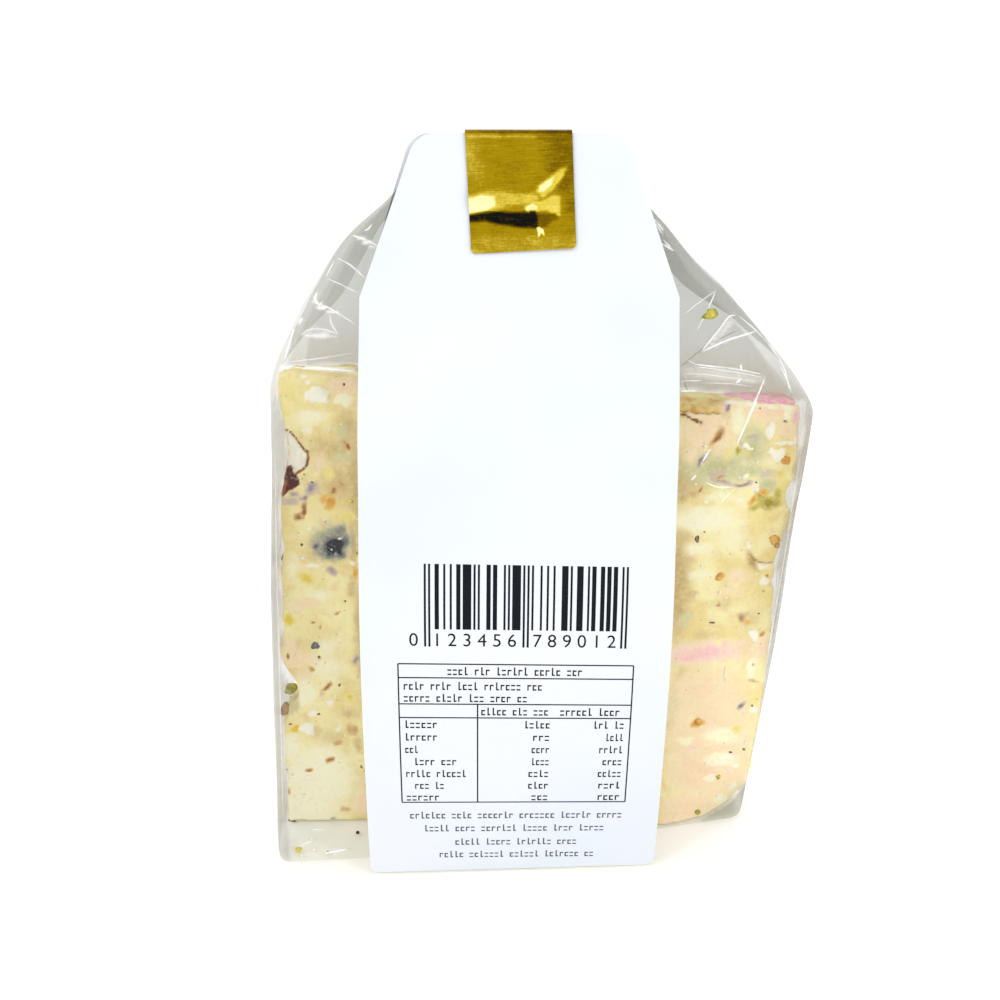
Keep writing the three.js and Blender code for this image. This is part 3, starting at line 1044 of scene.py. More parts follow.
    def _lay(
        self,
        bm: bmesh.types.BMesh,
        body: bmesh.types.BMLayerItem,
        spots: list[tuple[Vector, Vector]],
        width: float,
        shine: float,
    ) -> None:
        """Adds one flat tapered ridge over spots of (point, normal) on the film."""
        count = len(spots)
        if count < 3:
            return
        turns = np.linspace(0, 2 * np.pi, self.around + 1)
        points = np.empty((count, self.around + 1, 3))
        for i, (point, normal) in enumerate(spots):
            before, after = spots[max(i - 1, 0)][0], spots[min(i + 1, count - 1)][0]
            across = (after - before).cross(normal).normalized()
            half = 0.5 * width * math.sin(math.pi * i / (count - 1)) ** 0.7
            for j, turn in enumerate(turns):
                offset = across * (half * math.cos(turn)) + normal * (self.bulge * half * math.sin(turn))
                points[i, j] = point + normal * self.proud + offset
        verts = add_surface(bm, points)
        for vert, turn in zip(verts, np.tile(turns, count)):
            middle = abs(math.sin(turn))
            # painted highlight: brightest along the ridge's crest, with a soft glow round it
            vert[body] = shine * (0.3 * middle**1.5 + 0.7 * middle**16)

    def build(self, film: bpy.types.Object) -> bpy.types.Object:
        """All the creases as one piece on the film.

        Args:
            film: the bag's film.

        Returns:
            The piece.
        """
        tree = BVHTree.FromPolygons(
            [Vector(c) for c in corners_mm(film)], [p.vertices[:] for p in film.data.polygons]
        )
        bm = bmesh.new()
        body = bm.verts.layers.float.new("body")

        def cast(start: Vector, way: Vector) -> tuple[Vector, Vector] | None:
            """The film's point and outward normal that a ray meets first."""
            point, normal, _, _ = tree.ray_cast(start, way)
            if point is None:
                return None
            return point, normal if normal.dot(way) < 0 else -normal

        def fold(path: Knots, width: float, shine: float, start: Callable, way: Vector) -> None:
            """Lays one crease where rays along way meet the film."""
            met = [cast(start(a, b), way) for a, b in zip(*self._along(path))]
            self._lay(bm, body, [spot for spot in met if spot], width, shine)

        def stroke(a: float, b: float, turn: float, reach: float, bend: tuple[float, float]) -> Knots:
            """A short path through a place, bent in its middle."""
            side, rise = reach * math.cos(turn), reach * math.sin(turn)
            return (a - side, b - rise), (a + bend[0], b + bend[1]), (a + side, b + rise)

        ahead, beside = self.outside
        for crease in self.front:
            fold(
                crease.path, crease.width, crease.shine,
                lambda a, b: Vector((a, -ahead, b)), Vector((0, 1, 0)),
            )
        draw = np.random.default_rng(21)
        for _ in range(self.drawn_behind):
            x, z = draw.uniform(-46, 44), draw.uniform(12, 138)
            turn, reach = draw.uniform(0, np.pi), draw.uniform(2, 9)
            bend = draw.uniform(-1.5, 1.5)
            path, width = stroke(x, z, turn, reach, (bend, -bend)), draw.uniform(0.4, 0.9)
            fold(path, width, self.drawn_shine, lambda a, b: Vector((a, ahead, b)), Vector((0, -1, 0)))
        for i in range(self.drawn_aside):
            side = 1 if i % 2 else -1
            y, z = draw.uniform(4, 12), draw.uniform(6, 120)
            turn, reach = draw.uniform(0, np.pi), draw.uniform(1.5, 4)
            path, width = stroke(y, z, turn, reach, (0.3, 0)), draw.uniform(0.4, 0.8)
            fold(
                path, width, self.drawn_shine,
                lambda a, b, side=side: Vector((side * beside, a, b)), Vector((-side, 0, 0)),
            )
        weld(bm, 0.0005)
        return settle(bm, "film_creases", CreaseFinish().make())


# ---- The slab ----


@dataclass(frozen=True)
class Spot:
    """A soft stain, or a small piece, at a place on the slab's front face.

    across and up are in mm from the slab's left bottom corner, size is its radius, long is
    how many times longer it is than wide, and turn is its lean in degrees from upright.
    """

    across: float
    up: float
    size: float
    strength: float = 1.0
    long: float = 1.0
    turn: float = 0.0


def spots(*rows: tuple[float, ...]) -> tuple[Spot, ...]:
    """Spots from rows of (across, up, size, strength, long, turn); the last three may be left out."""
    return tuple(Spot(*row) for row in rows)


STAINS: dict[Stain, tuple[Spot, ...]] = {
    # painted shadow: the long spots at 20.8 and 95.2 to 95.4 across, and the broad ones at 15.5 and 97.5
    # across, are the cards' shadows beside their edges; the one at 113.2 across is shade in a notch; the rest
    # darken the face in tan
    Stain.TAN: spots(
        (97.5, 89, 3.6, 0.8, 1.6), (113.2, 66.6, 1.2, 0.9, 2.4, 150), (15.5, 94.5, 4, 0.6, 1.5, 90),
        (95.4, 62, 3.6, 0.8, 4.5), (95.2, 87, 2.4, 0.7, 3), (20.8, 86, 2.6, 0.7, 5), (20.8, 50, 2, 0.6, 7),
        (19.4, 99.7, 2.6, 0.75, 1.7), (18.6, 95.3, 2.8, 0.6), (16.7, 87.1, 4.3, 0.65, 1.2),
        (19.9, 89.7, 1.3, 0.6, 2.7), (18.8, 61.6, 1.4, 0.6, 2.2), (19.6, 71.6, 0.92, 0.55, 7.5),
        (5, 47.7, 2.1, 0.4, 1.2, 90), (17.2, 29.4, 1.7, 0.5, 1.5, 90), (8.9, 24.5, 1.7, 0.35, 1.3, 90),
        (12.9, 22.7, 2.6, 0.4, 1.1, 90), (18.7, 20.9, 1.4, 0.5, 1.8), (98.4, 97.9, 3.4, 0.55, 1.4),
        (96.6, 89, 1.9, 0.6, 2.2), (105.1, 101.2, 1.3, 0.5, 2, 20), (96.4, 83.7, 1.5, 0.6, 1.4, 90),
        (95.8, 82.7, 1.7, 0.7, 1.1, 90), (96.1, 54.8, 2.2, 0.75, 2.2), (98.8, 58.6, 1.5, 0.6, 1.3, 90),
        (106.2, 56.1, 1.7, 0.35, 2, 90), (113.5, 51.8, 2.9, 0.35, 1.1, 90), (102.7, 48.4, 1.5, 0.35, 3.3, 90),
        (97.2, 34.5, 1.8, 0.6, 3.6), (95.6, 25.1, 1.6, 0.6, 1.3),
    ),
    # painted shadow: the broad patch at 103.5 across, 90 up is shade beside the card's right edge; the rest
    # are green-grey patches
    Stain.GREEN: spots(
        (103.5, 90, 5, 0.7, 1.6, 90), (18.3, 98.4, 2.4, 0.35, 1.4), (18, 92.9, 1.3, 0.5, 2, 90),
        (13.6, 74.7, 1.8, 0.35, 2.1, 90), (111.8, 94.4, 3.6, 0.75, 1.4), (111.1, 96.5, 0.97, 0.9, 1.3, 90),
        (104.2, 92, 1.9, 0.6, 1.9, 120), (103.3, 89.3, 1.7, 0.7, 2.8, 90), (111.1, 88.8, 2.4, 0.6, 2.1, 90),
        (115.7, 85.3, 1.9, 0.7, 1.4, 90), (97.8, 52.1, 1.9, 0.4, 1.5), (96.3, 29.3, 2.1, 0.6, 1.4),
    ),
    Stain.PEACH: spots(
        (105, 21, 11, 0.75, 1.7), (103, 98, 5, 0.6, 1.2), (18.7, 109.1, 2.1, 0.9, 1.8, 90),
        (12.6, 91.8, 2.4, 0.4), (7.9, 57.9, 1.8, 0.5, 2.5, 90), (3.5, 47.2, 1.8, 0.7, 1.1, 90),
        (5.4, 56.4, 1.4, 0.4, 2, 90), (9.4, 43.4, 1.4, 0.6, 2.2, 90), (4.1, 43.9, 2.3, 0.7, 1.6, 90),
        (6.6, 39.3, 2, 0.5, 1.4, 90), (19.1, 5.5, 1.7, 0.9, 2.2), (0.7, 2, 1.7, 0.5),
        (15.9, 3.5, 1.7, 0.5, 1.7, 90), (99.5, 98.6, 4.3, 0.75, 1.2), (115.1, 102.4, 1.9, 1, 2.9, 90),
        (107.1, 104.3, 1.3, 0.7, 1.8, 90), (97.6, 92.8, 2.4, 0.5, 1.1, 90), (121.5, 96.1, 1.1, 0.8, 2.2),
        (119.3, 98.6, 1.5, 0.7, 1.1, 90), (109.8, 63.1, 1.9, 0.6, 1.9, 90), (108.4, 59.3, 1.7, 0.4, 2.3, 90),
        (116.8, 44.8, 2.9, 0.8, 1.2), (102.5, 34.4, 4.6, 0.8, 1.6, 90), (104.8, 27.3, 3.1, 0.6, 2.1, 90),
        (103.3, 12.1, 5.7, 1, 1.3, 90), (100.2, 3.2, 3.4, 1, 1.8, 90), (111.4, 11, 4.1, 0.7, 1.1),
        (112.8, 16.6, 2.3, 0.5, 1.2),
    ),
    Stain.PALE: spots(
        (9, 12, 8), (6, 4, 7, 0.9), (18.6, 105.9, 1.3, 0.7, 1.8, 90), (10.9, 102.2, 1.9, 0.6, 1.7, 90),
        (5.2, 66.8, 2.5, 0.35, 1.8), (11.1, 59.7, 1.4, 0.4, 2.5, 90), (12.4, 47, 3.4, 0.4, 1.3, 90),
        (6.7, 34.9, 2.3, 0.8, 1.4), (12.4, 41.5, 4.3, 0.45), (2.6, 20.5, 2, 0.8, 1.9),
        (4.3, 12.5, 2, 0.9, 1.9, 90), (2, 3.8, 1.4, 1, 1.2), (10.4, 9.2, 3.7, 0.6, 1.5, 90),
        (8, 4, 2.6, 0.6, 1.9, 90), (119.3, 102.4, 0.86, 0.9, 2.2), (108.2, 100.7, 1.3, 0.5, 3.2),
        (104.7, 82.7, 1.3, 0.4, 3.3, 90), (101.4, 77.1, 2.7, 1, 2.4, 90), (100.4, 70, 1.7, 0.6, 2, 90),
        (108.2, 73.6, 4.9, 0.35, 1.2), (116.1, 65.5, 1.2, 0.6, 1.6, 90), (100.7, 63.5, 1.7, 0.5, 2, 90),
        (114.6, 39.6, 1, 0.9, 2.2), (108.3, 15.2, 1.6, 1, 2.2, 90), (105.7, 10.1, 0.9, 1, 1.6, 90),
        (108.5, 4.3, 1, 0.9, 1.8, 90), (108, 21.7, 2.3, 0.6, 2.2, 90), (99.5, 20.6, 1.3, 0.5, 1.6, 90),
    ),
    Stain.YELLOW: spots(
        (6.9, 108.1, 3.2, 0.4, 1.1), (5.4, 103.8, 1.7, 0.5, 1.1, 90), (11.4, 113, 0.86, 0.5, 3, 90),
        (14.6, 89.1, 1.5, 0.6, 1.3), (18.7, 79, 1.5, 0.7, 1.2, 90), (8.4, 64.1, 1.4, 0.95, 1.6, 125),
        (3.6, 53.8, 1.4, 1, 1.2, 90), (17.3, 33.6, 1.1, 0.9, 1.1, 90), (0.3, 23.9, 0.57, 0.9, 3),
        (118.5, 87.8, 1.3, 0.7, 1.2), (119.8, 84.6, 1.3, 0.6, 1.7), (106.4, 93.2, 1.3, 0.35, 2, 25),
        (117.9, 57.3, 0.97, 0.35, 3.8), (114.2, 76.2, 2.9, 0.4, 1.3), (111.9, 23.2, 1.3, 0.6, 1.2, 90),
        (115.7, 31.4, 1.6, 0.4, 1.8),
    ),
    Stain.PINK: spots(
        (105, 104.1, 1.1, 0.8, 1.4, 90), (121.6, 101, 0.86, 0.9, 2.8), (102.9, 43.9, 2.3, 0.85, 3.8, 90),
        (107.3, 45.5, 1.2, 0.7, 1.2, 90), (111.2, 46.3, 1.5, 0.4, 2, 90), (99.8, 43.2, 2.1, 0.8, 3.2, 88),
        (101, 18.4, 0.83, 0.9, 1.3, 90), (95.1, 0.4, 1.6, 0.5),
    ),
    Stain.OLIVE: spots(
        (116.2, 81.2, 1.5, 0.85, 1.9, 80), (114.2, 82.6, 1.3, 0.75, 1.4, 60), (118.4, 83.2, 1.3, 0.6),
        (113.2, 80, 0.9, 0.6, 1.6, 90), (108.6, 93.6, 0.77, 0.8, 1.1, 90),
    ),
    Stain.LILAC: spots(
        (10.6, 85.6, 1.5, 0.8, 1.1, 90), (8.6, 83.5, 0.9), (6.4, 84.5, 0.86, 0.7, 1.5, 110),
        (12.2, 70, 0.78, 0.7, 1.3, 90), (14.4, 65.7, 1.1, 0.7, 1.1, 90), (19.2, 43.7, 0.87, 0.6),
        (5.6, 82.6, 1.1, 0.5, 2.4, 90), (13.3, 77.3, 0.32, 0.9), (18.9, 43, 1, 0.8),
        (11.9, 0.4, 0.75, 0.5, 1.5, 90), (105.6, 103.4, 0.56, 1, 1.5, 60), (100.4, 91.4, 0.43, 1, 4.8, 38),
        (105, 86.3, 0.5, 0.8, 6, 98), (109.8, 85.5, 0.5, 1, 5.5, 84), (104, 88, 1.3, 0.5, 1.8, 90),
        (111.7, 96.2, 0.86, 0.5, 1.5, 90), (118.8, 100.4, 0.26, 0.9, 1.5, 90), (96.4, 84.5, 0.95, 0.5),
        (115.8, 88.1, 1.3, 0.35, 2, 90), (111.7, 53.2, 1.2, 0.4, 1.2, 90), (112.7, 29.7, 0.67, 1, 1.8, 45),
    ),
    Stain.AMBER: spots(
        (14.8, 82.1, 1.1, 1, 1.2), (13.3, 83.3, 0.97, 0.8, 1.3, 30), (19.7, 64.9, 0.57, 0.9, 2.5),
        (0.4, 12.2, 0.46, 0.9, 7.5, 172), (102, 105.6, 1.3, 0.6, 1.3, 90), (98.1, 105.6, 0.64, 0.45, 5.3, 90),
        (112.4, 81.8, 0.9, 0.8, 1.3, 30), (114.9, 83.6, 0.6, 0.8, 1.6, 70), (105.6, 63, 0.88, 1, 1.2, 110),
        (113, 51.4, 0.78, 0.7, 1.1, 90), (102, 25.2, 0.98, 1, 1.6, 70),
    ),
    Stain.CARAMEL: spots(
        (19, 95.5, 0.64, 1, 1.7, 145), (18.4, 96.7, 1.1, 0.4, 1.2, 90), (17.4, 87, 1, 0.75, 1.1, 90),
        (15.2, 85.1, 0.86, 1, 1.1, 90), (8.3, 80.8, 0.6, 1, 3.1, 18), (7.4, 78.9, 0.83, 0.95, 1.2, 90),
        (15.3, 55.1, 0.37, 1, 2.2, 75), (9.5, 53.2, 0.39, 1, 1.4, 110), (10.2, 44.1, 0.32, 0.8),
        (10.5, 51.5, 0.21, 0.8, 2.2, 20), (8.5, 40.9, 0.8, 0.65, 1.1), (11.9, 36.4, 0.69, 1, 1.9, 30),
        (10.9, 34.9, 1.1, 0.35, 1.5, 30), (17.3, 25, 1.3, 0.6, 1.3, 120), (13.8, 21.5, 0.8, 0.65, 1.6, 90),
        (11.9, 17.2, 0.8, 1, 1.1), (6.6, 14.4, 0.69, 0.85, 1.2, 90), (1.1, 8.4, 0.63, 1, 1.5, 15),
        (14.9, 3.5, 0.8, 0.45, 1.6, 90), (16.3, -1.7, 0.52, 0.6, 2.8, 110), (103.5, 96.8, 1.1, 0.95, 2, 32),
        (103.4, 96.1, 1.5, 0.4, 1.7, 30), (104.4, 87.6, 0.56, 0.75, 2.1, 75), (100, 84.5, 0.34, 1, 2.9, 20),
        (98.4, 83.2, 1.1, 0.45, 1.1, 90), (96.3, 84.9, 0.95, 0.5), (105.8, 56.1, 0.49, 0.9, 1.7, 90),
        (111.7, 52.8, 0.88, 0.95), (116.3, 48.7, 0.49, 0.85, 1.7, 60), (115.1, 36.3, 0.67, 0.6, 1.9, 90),
    ),
    Stain.BERRY: spots(
        (15.2, 71.7, 2.4, 1.3, 1.4, 50), (16.2, 70.6, 1.5, 1.2, 1.2), (14.6, 72.5, 4.4, 0.55, 1.2, 70),
        (11.3, 71.6, 1, 0.75, 1, 90), (16.5, 75.6, 1.8, 0.5), (14.4, 69.9, 1.4, 0.5, 1.2, 90),
    ),
    Stain.ROSE: spots(
        (102.8, 103.2, 0.52, 1, 1.4, 90),
    ),
    Stain.CRUST: spots(
        (9.8, 111.4, 0.52, 1, 1.3, 90), (10.8, 110.1, 0.47, 1, 1.2, 90), (10.1, 99.3, 0.73, 1, 1.5, 90),
        (9.8, 76.1, 0.55, 1, 1.1, 90), (10, 67.1, 0.5, 1, 2.4, 100), (19.1, 67.6, 0.6, 1, 1.4, 115),
        (12.6, 32, 0.72, 1, 1.1), (7.9, 29.4, 0.8, 1, 1.2, 20), (14.2, 25.4, 0.52, 1, 1.2),
        (6.2, 11.9, 0.72, 1, 1.6, 90), (4.3, 11.1, 0.46, 1, 1.5, 90), (0.2, 4.7, 0.52, 1, 1.4),
        (2.3, 3.8, 0.86, 1, 1.5, 160), (8, 11.9, 0.52, 1, 1.2, 90), (110.6, 87.1, 0.47, 1, 1.2, 90),
        (102, 81.4, 0.54, 1, 1.1, 90), (109.5, 81.5, 0.78, 1, 1.2, 90), (112.3, 70.7, 0.49, 1, 1.7, 35),
        (116.3, 62.1, 0.73, 1, 1.3, 90), (106.7, 22.2, 0.52, 1, 1.1, 90), (115.4, 28.4, 0.57, 1, 1.1, 90),
        (109.4, 15.8, 0.77, 1, 3, 90), (105.7, 10.1, 0.67, 1, 1.7, 90), (107.2, 14.1, 0.67, 1, 2.3, 90),
        (111.5, 7.8, 0.72, 1, 1.6, 10), (108.5, 4.3, 0.88, 1, 1.6, 110), (111.8, 13.5, 0.46, 1, 2, 90),
        (114.9, 39.6, 0.57, 1, 3.2, 10), (106.2, 104.7, 0.6, 0.9, 3.5, 93), (110.6, 104.4, 0.7, 0.9, 3, 93),
        (115.2, 104, 0.7, 0.9, 3, 95), (119.3, 103.5, 0.6, 0.9, 2.6, 95), (101, 105, 0.5, 0.6, 3, 92),
    ),
}

SHAPED: dict[Stain, tuple[Patch, ...]] = {
    Stain.IVORY: (
        Patch((
            (5, 99.3), (6.1, 98.8), (8.4, 95.6), (9.5, 93.5), (9.7, 92.3), (9.4, 90.9), (7, 89.3), (6, 91),
            (5.4, 91.2), (4.9, 91.9), (4.7, 96.6),
        ), 0.5),
    ),
    Stain.MAROON: (
        Patch((
            (5.4, 91), (6, 90.9), (6.6, 89.2), (7.3, 88.8), (7.7, 87.6), (7.7, 86.5), (5.1, 85.1),
            (4.6, 84.2), (3.8, 83.9), (3.4, 84.7), (3.4, 85.9), (4.7, 90.6),
        ), 0.4),
    ),
    # painted highlight on the cranberry's left side
    Stain.RUST: (
        Patch(((4.2, 87.9), (4.8, 87.4), (4.1, 84.3), (3.5, 84.3), (3.3, 85.6)), 0.9, 0.9),
    ),
    Stain.SUNNY: (
        Patch(((2.1, 26.3), (3.1, 25.8), (4.3, 26.8), (4.7, 25.9), (4, 24.6), (3.2, 24.6)), 0.5),
        Patch((
            (109.4, 93.8), (110.5, 94.1), (111.4, 93.3), (111.4, 92), (110, 91.8), (109.2, 92.9),
        ), 0.4, 0.22),
    ),
    Stain.CRUST: (
        Patch(((4.7, 25.9), (6.6, 27.1), (7.8, 27.2), (8.3, 26.5), (8, 23.6), (6.1, 24.2), (4.9, 25)), 0.35),
        Patch((
            (112.1, 85.8), (113, 86.3), (113.8, 85.4), (113.9, 84), (113.2, 83.3), (112.3, 84.5),
        ), 0.3, 0.6),
        Patch((
            (10.1, 108.1), (11.2, 108.3), (11.7, 109), (12.7, 109.4), (13.6, 109.1), (15.3, 107.9),
            (15.2, 106.8), (15.5, 106.1), (15.1, 105.5), (11.9, 105.6), (10.1, 106.3), (10.2, 106.8),
            (9.9, 107.3),
        ), 0.35),
        Patch((
            (115.5, 100), (116.5, 100.2), (116.7, 99.3), (116.3, 96.9), (115.5, 95.9), (115, 96.9),
            (114.6, 98.9),
        ), 0.35),
        Patch((
            (116.2, 95.7), (117.1, 95.5), (119.5, 95.7), (120.9, 95.5), (121.4, 96.8), (121.9, 96.6),
            (121.5, 95), (120.5, 94.7), (119.1, 95.1), (118.3, 94.5), (117.4, 94.8),
        ), 0.35),
        Patch((
            (115.3, 93.3), (116.1, 94.3), (117.5, 93.3), (118.1, 94.1), (119, 93.7), (119, 92.1), (118, 91),
            (117.1, 90.6), (116.6, 91.9),
        ), 0.35),
        Patch(((109.4, 95.1), (110.1, 95.5), (110.7, 94.7), (111.8, 94), (111.7, 93.7), (109.5, 94.4)), 0.35),
        Patch((
            (113.1, 49.3), (114.7, 49.5), (115.8, 48.2), (115.4, 46.8), (114.5, 46.7), (113.6, 47.9),
        ), 0.35),
    ),
    Stain.AMBER: (
        Patch(((119.1, 92.4), (120.5, 91.9), (120.6, 90.3), (119.9, 90.3), (119.2, 91.4)), 0.4),
    ),
}

# How far each shaped kind stands out of the face, in mm.
LIFTS: dict[Stain, float] = {
    Stain.IVORY: -0.9,
    Stain.MAROON: -0.35,
    Stain.RUST: -0.1,
    Stain.SUNNY: 0.2,
    Stain.CRUST: 0.4,
    Stain.AMBER: 0.3,
}


@dataclass(frozen=True)
class Slab:
    """The hand-cut slab, which stands in the bag and leans back on its far side.

    Its front face has its own two axes: across from the left, and up from the bottom.
    """

    corner: tuple[float, float, float] = (-61.7, -5.7, 0.12)
    yaw: float = math.radians(1.8)
    lean: float = math.radians(5)
    width: float = 121.0
    height: float = 112.0
    thickness: float = 15.0
    taper: float = 1.1  # the hidden face is this much smaller on each side
    rounding: float = 1.0
    footing: float = 8.0  # up to this height the lean grows, so that the bottom stays level
    left: Profile = Profile((
        (0, 0.7), (6, 0.7), (14, 0.8), (21, 0.7), (27.6, 0.9), (30.3, 1.3), (32.3, 2.8), (33.4, 4.5),
        (36.6, 4.7), (38.8, 3.6), (41.5, 1.9), (43.7, 1.2), (47.7, 1.4), (50.3, 2.1), (53.8, 1.7),
        (58.5, 2.2), (64.4, 2), (67.5, 2.5), (70.6, 3.1), (73, 3), (79, 2.7), (83, 3), (86, 3.7),
        (92, 4.9), (97, 4.6), (100, 4.8), (103, 4.2), (108, 3.8), (113, 4.5),
    ))
    right: Profile = Profile((
        (0, 104.2), (1.9, 107.3), (3.9, 110.8), (6.8, 113.1), (8.9, 115.2), (20.2, 116.6), (30.9, 118),
        (45, 118.8), (56.9, 118.8), (63.2, 119.3), (66, 118.5), (68.2, 118.9), (71.9, 119.1),
        (76.2, 119.9), (78.9, 120.3), (80.4, 121.2), (84.2, 121.7), (88, 120.4), (91.4, 121.2),
        (94.8, 122.6), (100, 122.5), (106, 122.2),
    ))
    top: Profile = Profile((
        (0, 112.6), (5, 112.8), (22, 112.9), (60, 110.2), (92, 107.1), (104, 106), (112, 105.2), (122, 104.1),
    ))
    cracks: tuple[Crease, ...] = (
        Crease(0.22, (
            (5.1, 99.4), (6.1, 98.9), (7.2, 97.6), (8, 96.3), (9, 94.8), (9.8, 94), (10, 93.2),
            (9.7, 91), (9, 90.3), (7.2, 89.1),
        ), 0.8),
        Crease(0.26, ((9.9, 94.2), (10, 92.8), (9.7, 91.2)), 1.0),
        Crease(0.22, ((94.8, 102.3), (96.1, 101.8), (97.2, 101.1), (98.5, 100.6), (99.7, 100)), 0.8),
        # the last, faint one stands for the shade round a chunk at the notch
        Crease(0.32, ((112.4, 68.5), (113.7, 67.1), (115.3, 66.4), (116.8, 66.2), (118.1, 66.5)), 0.4),
    )
    grains: tuple[tuple[float, float], ...] = ((9.0, 5.0), (3.4, 11.0), (1.3, 23.0))  # (size, seed)
    face_relief: tuple[float, ...] = (0.24, 0.13, 0.05)
    back_relief: tuple[float, ...] = (0.75, 0.3, 0.1)
    cut_relief: tuple[float, ...] = (0.3, 0.4, 0.34)
    sunk: float = 0.22  # about how far the face's broad grain takes small pieces in or out
    crack_depth: float = 1.1
    chip_middle: float = 98.4
    chip_reach: float = 5.8
    chip_depth: float = 4.2
    chip_fall: float = 2.3
    chip_sink: float = 0.7
    toe_height: float = 11.0
    toe_reach: float = 4.4
    toe_left: tuple[float, float] = (50.0, 76.0)
    toe_right: tuple[float, float] = (112.0, 92.0)
    film_gap: float = 24.0
    look_down: float = 0.36  # how far down the camera sees past the film, for each mm of gap
    fine: float = 0.42
    coarse: float = 1.5
    shown_left: float = 24.0
    shown_right: float = 91.0
    row_step: float = 0.5
    depth_steps: int = 18

    def axes(self) -> tuple[np.ndarray, np.ndarray, np.ndarray]:
        """The slab's own directions: across, up, and into it."""
        across = np.array([math.cos(self.yaw), math.sin(self.yaw), 0.0])
        level = np.array([-math.sin(self.yaw), math.cos(self.yaw), 0.0])
        up = level * math.sin(self.lean) + np.array([0, 0, math.cos(self.lean)])
        into = level * math.cos(self.lean) - np.array([0, 0, math.sin(self.lean)])
        return across, up, into

    def place(self, own: np.ndarray) -> np.ndarray:
        """Places in the frame from the slab's own (across, up, into)."""
        across, up, into = self.axes()
        lifted = own[..., 2:] * math.sin(self.lean) * np.array([0.0, 0.0, 1.0])
        return (
            np.array(self.corner)
            + own[..., :1] * across
            + own[..., 1:2] * up
            + own[..., 2:] * into
            + lifted * (1 - np.clip(own[..., 1:2] / self.footing, 0, 1))
        )

    def clear_of(self, points: np.ndarray) -> tuple[np.ndarray, np.ndarray]:
        """How free of the slab each point of the film is, and how much painted warm light from the slab it
        takes.

        Args:
            points: places on the film, in the frame.

        Returns:
            Both shares, from 0 to 1.
        """
        _, up, into = self.axes()
        rise = (points[:, 2] - self.corner[2]) / up[2]
        across = points[:, 0] - self.corner[0]
        face = self.corner[1] - across * into[0] + rise * up[1]
        gap = np.clip(face - points[:, 1], 0, self.film_gap)
        behind = soft_step(8.0, 14.0, points[:, 1] - face)
        seen = rise - self.look_down * gap
        beyond_left = self.left.at(seen) + 0.2 + 0.2 * gap - across
        beyond_right = across - self.right.at(seen) + 0.2 + 0.2 * gap
        beyond_top = rise - self.top.at(across) - 0.4 - 0.3 * gap + 4.5 * behind
        beyond = np.maximum(np.maximum(beyond_left, beyond_right), beyond_top)
        # painted shade: a little grey on the film just above the floor
        near_floor = soft_step(7.0, 2.0, rise - 0.5 * gap)
        raised = soft_step(0.4, 3.0, rise)
        free = np.maximum(soft_step(-0.25, 0.45, beyond), 0.1 * near_floor) * (0.25 + 0.75 * raised)
        free = free * (0.88 + 0.2 * np.clip(across / 120, 0, 1))  # the right side is the greyer one
        # painted light: the slab's warm glow on the film, strongest beside it and higher up
        warm = soft_step(15.0, -1.0, beyond) * (0.3 + 0.7 * soft_step(20.0, 80.0, rise))
        return free, warm

    def _spread(self) -> np.ndarray:
        """Shares of the width for the columns: fine where the face shows beside the card."""
        stretches = (
            (0.0, self.shown_left, self.fine),
            (self.shown_left, self.shown_right, self.coarse),
            (self.shown_right, self.width, self.fine),
        )
        marks = [np.arange(low, high, step) for low, high, step in stretches]
        return np.append(np.concatenate(marks), self.width) / self.width

    def _skin(self, share: np.ndarray) -> tuple[np.ndarray, np.ndarray]:
        """The slab's surface.

        Args:
            share: places in a unit box of (across, up, into).

        Returns:
            The slab's own coordinates of each place, and which way it faces.
        """
        size = np.array([self.width, self.height, self.thickness])
        box = share * size
        inner = np.clip(box, self.rounding, size - self.rounding)
        facing = box - inner
        length = np.linalg.norm(facing, axis=-1, keepdims=True)
        facing = facing / np.maximum(length, TINY)
        box = inner + facing * self.rounding
        share = box / size
        row = share[..., 1] * self.height
        across = self.left.at(row) + share[..., 0] * (self.right.at(row) - self.left.at(row))
        up = share[..., 1] * self.top.at(across)
        drawn = self.taper * share[..., 2]
        across = across + drawn * (1 - 2 * share[..., 0])
        up = up - drawn * share[..., 1]
        return np.stack([across, up, box[..., 2]], -1), facing

    def _roughened(
        self, own: np.ndarray, facing: np.ndarray
    ) -> tuple[np.ndarray, np.ndarray, np.ndarray]:
        """The surface with its cuts, crags and cracks, how rough it is, and where it is chipped."""
        front = np.clip(-facing[..., 2], 0, 1)
        behind = np.clip(facing[..., 2], 0, 1)
        cut = 1 - np.maximum(front, behind) ** 2
        broad, middling, small = (grain(own, size, seed) for size, seed in self.grains)

        def relief(depths: tuple[float, ...]) -> np.ndarray:
            """The three grains, each to its own depth in mm."""
            return depths[0] * broad + depths[1] * middling + depths[2] * small

        lift = front * relief(self.face_relief)
        lift += behind * relief(self.back_relief)
        lift += cut * (relief(self.cut_relief) - 0.15)
        jagged = own[..., :2] + 0.25 * np.stack([small, middling], -1)
        for stain, patches in SHAPED.items():
            cover = covered(jagged, patches)
            ridges = 0.12 * np.sin(7.0 * own[..., 0] + 2.0 * small) if stain is Stain.IVORY else 0
            lift += front * cover * (LIFTS[stain] + ridges + 0.2 * small)
        chipped = self._chip(own, small)
        own = own + facing * lift[..., None]
        own[..., 1] -= chipped * (self.chip_fall + 0.7 * middling)
        own[..., 2] += chipped * (self.chip_sink + 0.25 * small)
        own[..., 1] = np.maximum(own[..., 1], 0)
        own[..., 2] -= self.toe_reach * self._toe(own)
        crack = self._crack(own) * front
        own[..., 2] += self.crack_depth * crack
        rough = np.clip(cut + 0.5 * behind + chipped, 0, 1)
        return own, rough, chipped

